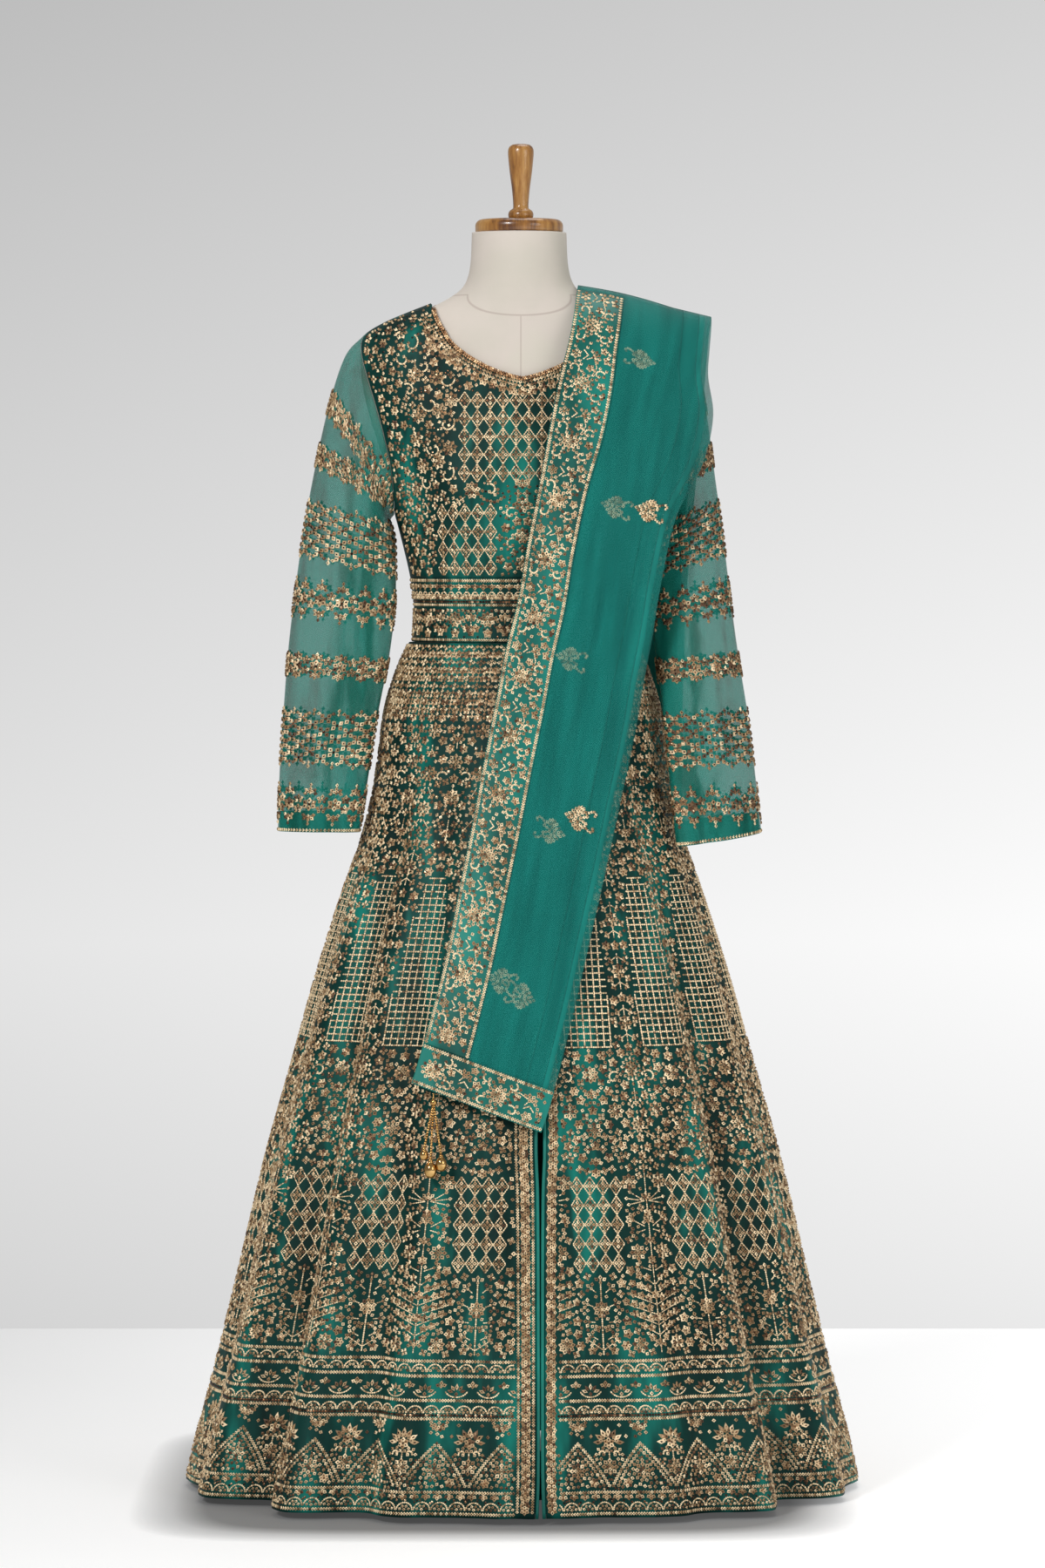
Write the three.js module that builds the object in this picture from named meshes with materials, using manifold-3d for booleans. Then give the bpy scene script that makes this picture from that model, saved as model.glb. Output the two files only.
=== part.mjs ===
// A floor-length gown of embroidered net over satin, with a folded scarf pinned over one shoulder and a
// bead tassel, worn by a limbless dress form on a stand.
// Millimetres. +Z is up, the front faces -Y and +X is the wearer's left. The origin is on the floor, under the pole.
import * as THREE from "three";
import { mergeVertices } from "three/addons/utils/BufferGeometryUtils.js";
import Module from "manifold-3d";

const wasm = await Module();
wasm.setup();

// ---------------------------------------------------------------- driving sizes
const CLOTH = 1.2; // wall of the gown's cloth
const EASE = 3; // air between the form and the bodice
const SEAM_GAP = 0.4; // between two pieces sewn edge to edge
const HEM_Z = 8; // the hem hangs just off the floor
const WAIST_SEAM_Z = 1021; // skirt sewn to the waistband
const WAISTBAND_TOP_Z = 1099; // waistband sewn to the bodice
const ARMPIT_Z = 1175;
const SHOULDER_TIP_Z = 1389;
const ARMHOLE_BULGE_DEG = 25; // how far the armhole bites round the chest
const NECK_POINT_DEG = 34.6; // where the neckline leaves the shoulder seam, as a column of the bodice
const FRONT_NECK_Z = 1333; // lowest point of the front neckline
const BACK_NECK_Z = 1397;

// The dress form's sections: half width, depth before and behind the middle, and how far the middle is shifted.
const FORM_SECTIONS = [
  { z: 738, side: 112, front: 74, back: 86, shift: 0 },
  { z: 748, side: 140, front: 94, back: 110, shift: 0 },
  { z: 775, side: 152, front: 102, back: 122, shift: 0 },
  { z: 820, side: 158, front: 109, back: 131, shift: 0 },
  { z: 868, side: 159, front: 111, back: 133, shift: 0 },
  { z: 918, side: 154, front: 107, back: 119, shift: 0 },
  { z: 970, side: 142, front: 98, back: 100, shift: 0 },
  { z: 1015, side: 131, front: 91, back: 87, shift: 0 },
  { z: 1055, side: 127, front: 89, back: 82, shift: 0 },
  { z: 1095, side: 131, front: 95, back: 85, shift: 0 },
  { z: 1140, side: 141, front: 107, back: 91, shift: 0 },
  { z: 1185, side: 153, front: 115, back: 96, shift: 0 },
  { z: 1230, side: 166, front: 112, back: 98, shift: 0 },
  { z: 1275, side: 181, front: 102, back: 99, shift: 0 },
  { z: 1315, side: 192, front: 92, back: 97, shift: 0 },
  { z: 1347, side: 197, front: 83, back: 92, shift: 0 },
  { z: 1372, side: 196, front: 75, back: 85, shift: 0 },
  { z: 1389, side: 187, front: 70, back: 80, shift: 0 },
  { z: 1403, side: 163, front: 66, back: 75, shift: -1 },
  { z: 1415, side: 134, front: 63, back: 70, shift: -2 },
  { z: 1426, side: 105, front: 60, back: 66, shift: -3 },
  { z: 1437, side: 82, front: 58, back: 62, shift: -4 },
  { z: 1450, side: 67, front: 56.5, back: 59, shift: -4 },
  { z: 1472, side: 59.5, front: 56, back: 57, shift: -4 },
  { z: 1514, side: 57, front: 55, back: 55, shift: -4 },
];
const FORM_INSET = 1.8; // the form's own face lies this far inside those sections, where the gown covers it
const FORM_COLUMNS = 26;
const BUST = { x: 84, z: 1203, wide: 46, tall: 50, height: 13 };

// The skirt's outer envelope, through the crests of its folds. square is how far a section is from an ellipse.
const SKIRT_SECTIONS = [
  { z: 8, side: 408, front: 326, back: 346, square: 2.85 },
  { z: 63, side: 395, front: 318, back: 338, square: 2.8 },
  { z: 157, side: 370, front: 303, back: 322, square: 2.7 },
  { z: 275, side: 341, front: 282, back: 302, square: 2.6 },
  { z: 402, side: 311, front: 258, back: 278, square: 2.5 },
  { z: 515, side: 279, front: 234, back: 252, square: 2.4 },
  { z: 619, side: 250, front: 209, back: 224, square: 2.3 },
  { z: 725, side: 216, front: 182, back: 194, square: 2.2 },
  { z: 777, side: 197, front: 168, back: 178, square: 2.15 },
  { z: 830, side: 183, front: 154, back: 163, square: 2.1 },
  { z: 878, side: 175, front: 144, back: 151, square: 2.05 },
  { z: 942, side: 166, front: 129, back: 134, square: 2 },
  { z: 990, side: 151, front: 112, back: 110, square: 2 },
  { z: 1021, side: 137, front: 99, back: 92, square: 2 },
];
// The valleys between the skirt's flutes: where, how wide and how deep at the hem. 0 is the front, + the wearer's left.
const SKIRT_VALLEYS = [
  { angle: 15, wide: 7, depth: 10 },
  { angle: 32, wide: 6, depth: 24 },
  { angle: 51, wide: 6.5, depth: 60 },
  { angle: 71, wide: 7, depth: 18 },
  { angle: 98, wide: 7, depth: 26 },
  { angle: 123, wide: 7, depth: 46 },
  { angle: 144, wide: 7, depth: 26 },
  { angle: 163, wide: 7, depth: 34 },
  { angle: -13, wide: 6, depth: 9 },
  { angle: -29, wide: 6, depth: 34 },
  { angle: -50, wide: 6.5, depth: 62 },
  { angle: -72, wide: 7, depth: 16 },
  { angle: -101, wide: 7, depth: 28 },
  { angle: -127, wide: 7, depth: 44 },
  { angle: -149, wide: 7, depth: 24 },
  { angle: -172, wide: 7, depth: 30 },
];
const SKIRT_ROWS = [HEM_Z, 80, 175, 285, 400, 520, 640, 750, 845, 920, 978, WAIST_SEAM_Z - SEAM_GAP];
const SKIRT_PANEL_COLUMNS = 16;
const LINING_ROWS = [HEM_Z + 3, 165, 360, 570, 780, 965];
const LINING_INSET = { waist: 0.036, front: 0.05, side: 0.095 }; // share of the radius, at the waist and the hem

// The slit down the front: half of the gap between its satin edges.
const SLIT_X = 21;
const SLIT_OPENING = [
  { z: 8, half: 2.2 },
  { z: 60, half: 0.7 },
  { z: 250, half: 0.6 },
  { z: 380, half: 1.4 },
  { z: 430, half: 3.2 },
  { z: 500, half: 2.4 },
  { z: 640, half: 0.7 },
  { z: 1021, half: 0.5 },
];
const EDGING = { wide: 4.2, thick: 1.8, inset: 1.2 }; // the satin edge along each side of the slit

// Sleeves by rings, from the armhole down. outer and inner are the ring's two ends, depth its half thickness.
const RIGHT_SLEEVE = [
  { outerX: 215, outerZ: 1364, outerY: 0, innerX: 160, innerZ: 1167, innerY: 0, depth: 46 },
  { outerX: 236, outerZ: 1298, outerY: -3, innerX: 157, innerZ: 1158, innerY: -5, depth: 44 },
  { outerX: 253, outerZ: 1219, outerY: -6, innerX: 154, innerZ: 1146, innerY: -10, depth: 40 },
  { outerX: 265, outerZ: 1152, outerY: -10, innerX: 153, innerZ: 1130, innerY: -16, depth: 36 },
  { outerX: 275, outerZ: 1080, outerY: -14, innerX: 153, innerZ: 1074, innerY: -22, depth: 32 },
  { outerX: 283, outerZ: 1010, outerY: -17, innerX: 160, innerZ: 1008, innerY: -30, depth: 29 },
  { outerX: 289, outerZ: 930, outerY: -20, innerX: 175, innerZ: 930, innerY: -40, depth: 27 },
  { outerX: 293, outerZ: 865, outerY: -22, innerX: 185, innerZ: 865, innerY: -48, depth: 25 },
  { outerX: 295, outerZ: 793, outerY: -24, innerX: 196, innerZ: 793, innerY: -56, depth: 23 },
];
const LEFT_SLEEVE = [
  { outerX: 209, outerZ: 1362, outerY: 0, innerX: 160, innerZ: 1167, innerY: 0, depth: 44 },
  { outerX: 222, outerZ: 1298, outerY: -3, innerX: 157, innerZ: 1158, innerY: -5, depth: 43 },
  { outerX: 233, outerZ: 1216, outerY: -8, innerX: 154, innerZ: 1146, innerY: -12, depth: 40 },
  { outerX: 242, outerZ: 1150, outerY: -14, innerX: 152, innerZ: 1130, innerY: -22, depth: 36 },
  { outerX: 250, outerZ: 1080, outerY: -20, innerX: 153, innerZ: 1074, innerY: -34, depth: 32 },
  { outerX: 259, outerZ: 1010, outerY: -26, innerX: 160, innerZ: 1008, innerY: -52, depth: 29 },
  { outerX: 271, outerZ: 930, outerY: -32, innerX: 170, innerZ: 928, innerY: -74, depth: 27 },
  { outerX: 279, outerZ: 862, outerY: -38, innerX: 177, innerZ: 858, innerY: -92, depth: 25 },
  { outerX: 286, outerZ: 793, outerY: -46, innerX: 185, innerZ: 779, innerY: -112, depth: 23 },
];
const SLEEVE_COLUMNS = 20;
const SLEEVE_CREASES = [
  { angle: 118, wide: 15, depth: 6 },
  { angle: 158, wide: 13, depth: 5 },
  { angle: 232, wide: 16, depth: 5 },
];
const CUFF_BAND = 26; // the satin band inside the end of each sleeve
const CUFF_THICK = 1;

// The scarf's front fall, by how far down it each row is: its two edges, and how far its middle stands forward.
const SCARF_FRONT = [
  { down: 0, left: 67, right: 228, out: 4 },
  { down: 0.006, left: 66, right: 228, out: 30 },
  { down: 0.02, left: 64, right: 227, out: 54 },
  { down: 0.042, left: 61, right: 225, out: 76 },
  { down: 0.075, left: 55, right: 223, out: 96 },
  { down: 0.125, left: 43, right: 229, out: 116 },
  { down: 0.185, left: 32, right: 216, out: 136 },
  { down: 0.25, left: 21, right: 184, out: 147 },
  { down: 0.33, left: 6, right: 166, out: 140 },
  { down: 0.4, left: -5, right: 155, out: 134 },
  { down: 0.46, left: -19, right: 144, out: 138 },
  { down: 0.52, left: -30, right: 134, out: 149 },
  { down: 0.6, left: -45, right: 117, out: 168 },
  { down: 0.68, left: -59, right: 100, out: 188 },
  { down: 0.76, left: -74, right: 82, out: 208 },
  { down: 0.84, left: -89, right: 64, out: 229 },
  { down: 0.92, left: -108, right: 45, out: 247 },
  { down: 0.951, left: -116, right: 37, out: 253 },
  { down: 0.976, left: -123, right: 30, out: 257 },
  { down: 1, left: -130, right: 22, out: 262 },
];
const SCARF_CREST = { left: 1451, right: 1413, bow: 3 }; // heights where it crosses the shoulder
const SCARF_FOOT = { left: 509, right: 452 };
const SIDE_BORDER_ACROSS = 0.345; // the side border's share of the folded width
// Across the folded scarf: how thick the pile of layers is, as edges step back towards the outer side.
const SCARF_PILE = [
  { across: 0, thick: 3.2 },
  { across: 0.12, thick: 3.2 },
  { across: 0.24, thick: 3.2 },
  { across: SIDE_BORDER_ACROSS, thick: 3.2 },
  { across: 0.44, thick: 3 },
  { across: 0.56, thick: 3.2 },
  { across: 0.68, thick: 2.8 },
  { across: 0.78, thick: 3 },
  { across: 0.8, thick: 2.2 },
  { across: 0.9, thick: 2.3 },
  { across: 0.92, thick: 1.4 },
  { across: 1, thick: 1.2 },
];
const SCARF_REACH = { shoulder: 250, foot: 430 }; // half width that the scarf bends round, going down
const SCARF_CLEAR = 3; // air between the scarf and what it rests on
const FRONT_END_BORDER = 0.951; // how far down the end borders start
const BACK_END_BORDER = 0.957;
const BORDER = { thick: 0.8, lift: 0.35 };
// The back fall hangs straight: down is from the shoulder to its foot.
const SCARF_BACK_FOOT_Z = 330;
const SCARF_BACK = [
  { down: 0, out: 4, left: 67, right: 228 },
  { down: 0.006, out: 42, left: 66, right: 228 },
  { down: 0.02, out: 71, left: 65, right: 226 },
  { down: 0.045, out: 92, left: 64, right: 224 },
  { down: 0.09, out: 108, left: 62, right: 220 },
  { down: 0.16, out: 118, left: 60, right: 214 },
  { down: 0.24, out: 122, left: 58, right: 206 },
  { down: 0.32, out: 122, left: 57, right: 200 },
  { down: 0.4, out: 132, left: 56, right: 197 },
  { down: 0.46, out: 152, left: 56, right: 196 },
  { down: 0.54, out: 176, left: 57, right: 196 },
  { down: 0.64, out: 206, left: 58, right: 197 },
  { down: 0.76, out: 240, left: 60, right: 199 },
  { down: 0.88, out: 269, left: 62, right: 201 },
  { down: 0.957, out: 287, left: 63, right: 203 },
  { down: 1, out: 296, left: 64, right: 204 },
];

const NECK_BINDING_R = 2.1;

// The tassel under the scarf's corner: a knot, and bead strings that end in bells.
const TASSEL = { across: 0.17, drop: 13, knotR: 4.2, stringR: 1.9 };
const TASSEL_STRINGS = [
  { dx: -3.5, dy: -11, long: 68, bellR: 7.4, bellTall: 20 },
  { dx: 9, dy: -12, long: 62, bellR: 6.6, bellTall: 18 },
  { dx: -11, dy: -9, long: 54, bellR: 5.2, bellTall: 13 },
];
// A bell as shares of its radius and height, from its mouth up.
const BELL_PROFILE = [
  { r: 0.55, z: -0.94 },
  { r: 0.92, z: -0.7 },
  { r: 1, z: -0.46 },
  { r: 0.8, z: -0.22 },
  { r: 0.42, z: -0.06 },
  { r: 0.34, z: 0.12 },
];

const STAND = { baseR: 150, baseThick: 12, hubR: 26, hubTall: 34, poleR: 14 };
const WOOD_CAP = { r: 53, thick: 15.5, round: 8, x: -4 };
// The turned handle on the cap, as radii going up.
const HANDLE_PROFILE = [
  { z: 0, r: 12.5 },
  { z: 2.2, r: 14.6 },
  { z: 6, r: 15.2 },
  { z: 10, r: 13.6 },
  { z: 12.4, r: 10.4 },
  { z: 13.4, r: 9.3 },
  { z: 22, r: 9.5 },
  { z: 38, r: 11 },
  { z: 56, r: 13.4 },
  { z: 74, r: 15.2 },
  { z: 82, r: 15.5 },
  { z: 87, r: 13.9 },
  { z: 89.6, r: 10.4 },
];

// ---------------------------------------------------------------- colours
const MATERIALS = {
  net: { color: 0x7a7650, roughness: 0.55, metalness: 0.25 },
  satin: { color: 0x0d7868, roughness: 0.35, metalness: 0 },
  sheer: { color: 0x2a8376, roughness: 0.6, metalness: 0 },
  gold: { color: 0xc9a877, roughness: 0.4, metalness: 0.6 },
  bell: { color: 0xc08a35, roughness: 0.18, metalness: 1 },
  form: { color: 0xcfc8b8, roughness: 0.85, metalness: 0 },
  wood: { color: 0x9a5f22, roughness: 0.3, metalness: 0 },
  iron: { color: 0x2c2c2e, roughness: 0.5, metalness: 0.7 },
};

// ---------------------------------------------------------------- small tools
const toRad = THREE.MathUtils.degToRad;
const clamp = THREE.MathUtils.clamp;
const lerp = THREE.MathUtils.lerp;
const smooth = THREE.MathUtils.smoothstep;
const evenly = (from, to, steps) => Array.from({ length: steps + 1 }, (_, i) => lerp(from, to, i / steps));

// A smooth curve through one named column of a table, read by another column.
function curveOf(table, name, by = "z") {
  const rows = [...table].sort((a, b) => a[by] - b[by]);
  const slope = (i) => {
    const low = rows[Math.max(i - 1, 0)];
    const high = rows[Math.min(i + 1, rows.length - 1)];
    return (high[name] - low[name]) / (high[by] - low[by]);
  };
  return (at) => {
    let i = 0;
    while (i < rows.length - 2 && rows[i + 1][by] < at) i++;
    const step = rows[i + 1][by] - rows[i][by];
    const t = clamp((at - rows[i][by]) / step, 0, 1);
    const t2 = t * t;
    const t3 = t2 * t;
    return (
      (2 * t3 - 3 * t2 + 1) * rows[i][name] +
      (t3 - 2 * t2 + t) * step * slope(i) +
      (3 * t2 - 2 * t3) * rows[i + 1][name] +
      (t3 - t2) * step * slope(i + 1)
    );
  };
}

// The height where a rising or falling curve passes a value, between two heights.
function heightAt(curve, value, low, high) {
  const falling = curve(low) > curve(high);
  for (let i = 0; i < 40; i++) {
    const middle = (low + high) / 2;
    if (curve(middle) > value === falling) low = middle;
    else high = middle;
  }
  return (low + high) / 2;
}

function geometryOf(points, triangles) {
  return new THREE.BufferGeometry()
    .setAttribute("position", new THREE.BufferAttribute(new Float32Array(points.flatMap((p) => [p.x, p.y, p.z])), 3))
    .setIndex(triangles);
}

// A grid of points on a surface, with the unit normals there. Columns run round the body and rows run up it, so
// the normals point away from it. One step past each edge is read too, so that panels that meet agree.
function gridOn(surface, columns, rows) {
  const beyond = (list) => [2 * list[0] - list[1], ...list, 2 * list.at(-1) - list.at(-2)];
  const all = beyond(rows).map((v) => beyond(columns).map((u) => surface(u, v)));
  const normal = (i, j) => {
    const round = all[j][i + 1].clone().sub(all[j][i - 1]);
    return round.cross(all[j + 1][i].clone().sub(all[j - 1][i])).normalize();
  };
  return {
    points: rows.map((_, j) => columns.map((_, i) => all[j + 1][i + 1])),
    normals: rows.map((_, j) => columns.map((_, i) => normal(i + 1, j + 1))),
  };
}

// The same for closed rings, lowest first.
function gridOfRings(rings) {
  const wide = rings[0].length;
  const normal = (row, i, j) => {
    const round = row[(i + 1) % wide].clone().sub(row[(i + wide - 1) % wide]);
    const up = rings[Math.min(j + 1, rings.length - 1)][i].clone().sub(rings[Math.max(j - 1, 0)][i]);
    return round.cross(up).normalize();
  };
  return { points: rings, normals: rings.map((row, j) => row.map((_, i) => normal(row, i, j))) };
}

// Part of a grid, by its first and last column and row.
function cutOf(grid, [left, right], [low, high]) {
  const part = (rows) => rows.slice(low, high + 1).map((row) => row.slice(left, right + 1));
  return { points: part(grid.points), normals: part(grid.normals) };
}

// A wall of cloth on a grid: its outer face is lift off the grid, and its inner face lies thick(i, j) behind that.
function clothWall({ points, normals }, { closed = false, thick = () => CLOTH, lift = 0 } = {}) {
  const wide = points[0].length;
  const tall = points.length;
  const face = (away) => points.flatMap((row, j) => row.map((p, i) => p.clone().addScaledVector(normals[j][i], away(i, j))));
  const at = (i, j) => j * wide + (i % wide);
  const back = wide * tall;
  const triangles = [];
  const quad = (a, b, c, d) => triangles.push(a, b, c, a, c, d);
  const spans = closed ? wide : wide - 1;
  for (let j = 0; j < tall - 1; j++)
    for (let i = 0; i < spans; i++) {
      quad(at(i, j), at(i + 1, j), at(i + 1, j + 1), at(i, j + 1));
      quad(back + at(i, j), back + at(i, j + 1), back + at(i + 1, j + 1), back + at(i + 1, j));
    }
  for (let i = 0; i < spans; i++) {
    quad(at(i + 1, 0), at(i, 0), back + at(i, 0), back + at(i + 1, 0));
    quad(at(i, tall - 1), at(i + 1, tall - 1), back + at(i + 1, tall - 1), back + at(i, tall - 1));
  }
  for (let j = 0; j < tall - 1 && !closed; j++) {
    quad(at(0, j), at(0, j + 1), back + at(0, j + 1), back + at(0, j));
    quad(at(wide - 1, j + 1), at(wide - 1, j), back + at(wide - 1, j), back + at(wide - 1, j + 1));
  }
  return geometryOf([...face(() => lift), ...face((i, j) => lift - thick(i, j))], triangles);
}

// A solid skinned over closed rings, from the lowest up, with a flat lid at each end.
function skinned(rings) {
  const wide = rings[0].length;
  const middle = (ring) => ring.reduce((sum, p) => sum.add(p), new THREE.Vector3()).divideScalar(wide);
  const points = [...rings.flat(), middle(rings[0]), middle(rings.at(-1))];
  const triangles = [];
  for (let j = 0; j < rings.length - 1; j++)
    for (let i = 0; i < wide; i++) {
      const next = (i + 1) % wide;
      const [a, b, c, d] = [j * wide + i, j * wide + next, (j + 1) * wide + next, (j + 1) * wide + i];
      triangles.push(a, b, c, a, c, d);
    }
  const top = (rings.length - 1) * wide;
  for (let i = 0; i < wide; i++) {
    const next = (i + 1) % wide;
    triangles.push(next, i, points.length - 2, top + i, top + next, points.length - 1);
  }
  return geometryOf(points, triangles);
}

// A round cord along a closed line of points, each with the direction that its section faces.
function cordLoop(line, radius, sides = 6) {
  const rings = line.map((p, i) => {
    const ahead = line[(i + 1) % line.length].clone().sub(line[(i + line.length - 1) % line.length]).normalize();
    const across = new THREE.Vector3(0, 0, 1).cross(ahead).normalize();
    const up = ahead.clone().cross(across);
    return evenly(0, 2 * Math.PI, sides)
      .slice(0, -1)
      .map((a) => p.clone().addScaledVector(across, radius * Math.cos(a)).addScaledVector(up, radius * Math.sin(a)));
  });
  const triangles = [];
  for (let j = 0; j < rings.length; j++)
    for (let i = 0; i < sides; i++) {
      const jn = ((j + 1) % rings.length) * sides;
      const next = (i + 1) % sides;
      triangles.push(j * sides + i, j * sides + next, jn + next, j * sides + i, jn + next, jn + i);
    }
  return geometryOf(rings.flat(), triangles);
}

function lathed(profile, segments) {
  return new THREE.LatheGeometry(
    profile.map(([r, z]) => new THREE.Vector2(r, z)),
    segments,
  ).rotateX(Math.PI / 2);
}

function solidOf(geometry) {
  const bare = geometry.clone();
  bare.deleteAttribute("normal");
  bare.deleteAttribute("uv");
  const merged = mergeVertices(bare, 1e-3);
  return new wasm.Manifold(
    new wasm.Mesh({
      numProp: 3,
      vertProperties: merged.attributes.position.array,
      triVerts: new Uint32Array(merged.index.array),
    }),
  );
}

function geometryFrom(solid) {
  const mesh = solid.getMesh();
  return new THREE.BufferGeometry()
    .setAttribute("position", new THREE.BufferAttribute(mesh.vertProperties, 3))
    .setIndex(new THREE.BufferAttribute(mesh.triVerts, 1));
}

const gown = new THREE.Group();
function piece(name, geometry, material, place = {}) {
  const mesh = new THREE.Mesh(geometry, new THREE.MeshStandardMaterial(MATERIALS[material]));
  mesh.name = name;
  mesh.position.set(place.x ?? 0, place.y ?? 0, place.z ?? 0);
  gown.add(mesh);
}

// ---------------------------------------------------------------- the form's surface, which the bodice follows
const formSide = curveOf(FORM_SECTIONS, "side");
const formFront = curveOf(FORM_SECTIONS, "front");
const formBack = curveOf(FORM_SECTIONS, "back");
const formShift = curveOf(FORM_SECTIONS, "shift");

function formSurface(angle, z) {
  const depth = Math.cos(angle) >= 0 ? formFront(z) : formBack(z);
  const x = formSide(z) * Math.sin(angle);
  const cups = Math.exp(-(((Math.abs(x) - BUST.x) / BUST.wide) ** 2)) * Math.exp(-(((z - BUST.z) / BUST.tall) ** 2));
  const forward = BUST.height * cups * Math.max(Math.cos(angle), 0);
  return new THREE.Vector3(x + formShift(z), -depth * Math.cos(angle) - forward, z);
}

function formNormal(angle, z) {
  const round = formSurface(angle + 0.01, z).sub(formSurface(angle - 0.01, z));
  return round.cross(formSurface(angle, z + 0.5).sub(formSurface(angle, z - 0.5))).normalize();
}
const offForm = (angle, z, away) => formSurface(angle, z).addScaledVector(formNormal(angle, z), away);

function buildForm() {
  const round = evenly(-Math.PI, Math.PI, FORM_COLUMNS).slice(0, -1);
  const heights = FORM_SECTIONS.map((s) => s.z);
  const rings = heights.map((z) => {
    const inset = FORM_INSET * (1 - smooth(z, 1420, 1437));
    return round.map((a) => formSurface(a, z).multiply(new THREE.Vector3(1 - inset / formSide(z), 1 - inset / 90, 1)));
  });
  piece("form_torso", skinned(rings), "form");

  const neckTop = heights.at(-1) + SEAM_GAP;
  const { r, thick, round: soft } = WOOD_CAP;
  const rim = evenly(0, Math.PI / 2, 3).map((a) => [r - soft + soft * Math.cos(a), thick - soft + soft * Math.sin(a)]);
  const cap = lathed([[0, 0], [r - 1.5, 0], [r, 1.5], ...rim, [0, thick]], 28);
  piece("form_cap", cap, "wood", { x: WOOD_CAP.x, z: neckTop });

  const turned = [[0, 0], ...HANDLE_PROFILE.map((p) => [p.r, p.z]), [0, HANDLE_PROFILE.at(-1).z + 1]];
  piece("form_handle", lathed(turned, 18), "wood", { x: WOOD_CAP.x + 2, z: neckTop + thick + SEAM_GAP });

  const { baseR, baseThick, hubR, hubTall, poleR } = STAND;
  const slope = [[baseR - 3, baseThick * 0.6], [hubR + 8, baseThick]];
  const base = [[0, 0], [baseR - 2, 0], [baseR, 2], ...slope, [hubR, hubTall], [0, hubTall]];
  piece("stand_base", lathed(base, 32), "iron");
  const poleTall = heights[0] - hubTall - 2 * SEAM_GAP;
  const pole = new THREE.CylinderGeometry(poleR, poleR, poleTall, 16).rotateX(Math.PI / 2);
  piece("stand_pole", pole, "iron", { z: hubTall + SEAM_GAP + poleTall / 2 });
}

// ---------------------------------------------------------------- bodice and waistband
const armholeMiddle = (ARMPIT_Z + SHOULDER_TIP_Z) / 2;
const armholeHalf = (SHOULDER_TIP_Z - ARMPIT_Z) / 2;
const tipX = formSide(SHOULDER_TIP_Z);

// Half the bodice's width at a height: to the side seam, then the armhole's edge.
function bodiceEdge(z) {
  if (z >= SHOULDER_TIP_Z) return tipX;
  const along = clamp((z - armholeMiddle) / armholeHalf, -1, 1);
  const bite = z > ARMPIT_Z ? toRad(ARMHOLE_BULGE_DEG) * Math.sqrt(1 - along * along) : 0;
  return formSide(z) * Math.cos(bite);
}

// Where a column of the bodice ends: on the shoulder seam, or on the neckline.
function bodiceTop(share, neckZ) {
  const neckShare = Math.sin(toRad(NECK_POINT_DEG));
  const shoulderZ = (s) => heightAt(formSide, s * tipX, SHOULDER_TIP_Z, 1450);
  if (share >= neckShare - 1e-6) return share > 0.999 ? SHOULDER_TIP_Z : shoulderZ(share);
  const f = share / neckShare;
  const scoop = 0.8 * (1 - Math.sqrt(1 - f * f)) + 0.2 * f;
  return lerp(neckZ, shoulderZ(neckShare), scoop);
}

// Round the armhole: the bodice's rows meet the sleeve's columns.
const armholeRound = evenly(0, 2 * Math.PI, SLEEVE_COLUMNS).slice(0, -1);
const bodiceFoot = WAISTBAND_TOP_Z + SEAM_GAP;
const BODICE_ROWS = [
  0,
  0.13,
  ...evenly(Math.PI, 0, SLEEVE_COLUMNS / 2).map(
    (phi) => (armholeMiddle + armholeHalf * Math.cos(phi) - bodiceFoot) / (SHOULDER_TIP_Z - bodiceFoot),
  ),
];
// The bodice's columns in degrees from the middle, at its foot and at its top.
const FRONT_COLUMNS = [
  { foot: 0, top: 0 },
  { foot: 8, top: 9 },
  { foot: 16, top: 18 },
  { foot: 24, top: 26 },
  { foot: 31, top: 31 },
  { foot: 37, top: 33.8 },
  { foot: 43, top: 34.45 },
  { foot: 49, top: NECK_POINT_DEG },
  { foot: 59, top: 48 },
  { foot: 69, top: 62 },
  { foot: 80, top: 76 },
  { foot: 90, top: 90 },
];
const BACK_COLUMNS = [
  { foot: 0, top: 0 },
  { foot: 12, top: 15 },
  { foot: 24, top: 27 },
  { foot: 34, top: 33 },
  { foot: 42, top: 34.4 },
  { foot: 49, top: NECK_POINT_DEG },
  { foot: 59, top: 48 },
  { foot: 69, top: 62 },
  { foot: 80, top: 76 },
  { foot: 90, top: 90 },
];
const bothSides = (columns) => [
  ...columns.slice(1).reverse().map((c) => ({ ...c, side: -1 })),
  ...columns.map((c) => ({ ...c, side: 1 })),
];

// Where a place on the bodice is, as an angle and a height.
function bodicePlace(column, rise, front) {
  const foot = Math.sin(toRad(column.foot));
  const top = Math.sin(toRad(column.top));
  const topZ = bodiceTop(top, front ? FRONT_NECK_Z : BACK_NECK_Z);
  const z = lerp(bodiceFoot, topZ, rise);
  const share = lerp(foot, top, smooth(rise, 0, 0.8));
  const angle = Math.asin(clamp((column.side * share * bodiceEdge(z)) / formSide(z), -1, 1));
  return { angle: front ? angle : Math.PI - angle, z };
}

function bodiceGrid(columns, front) {
  const order = front ? bothSides(columns) : bothSides(columns).reverse();
  const places = BODICE_ROWS.map((rise) => order.map((c) => bodicePlace(c, rise, front)));
  return {
    points: places.map((row) => row.map((p) => offForm(p.angle, p.z, EASE + CLOTH))),
    normals: places.map((row) => row.map((p) => formNormal(p.angle, p.z))),
    neck: order.map((c, i) => i).filter((i) => order[i].top <= NECK_POINT_DEG),
  };
}

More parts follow.
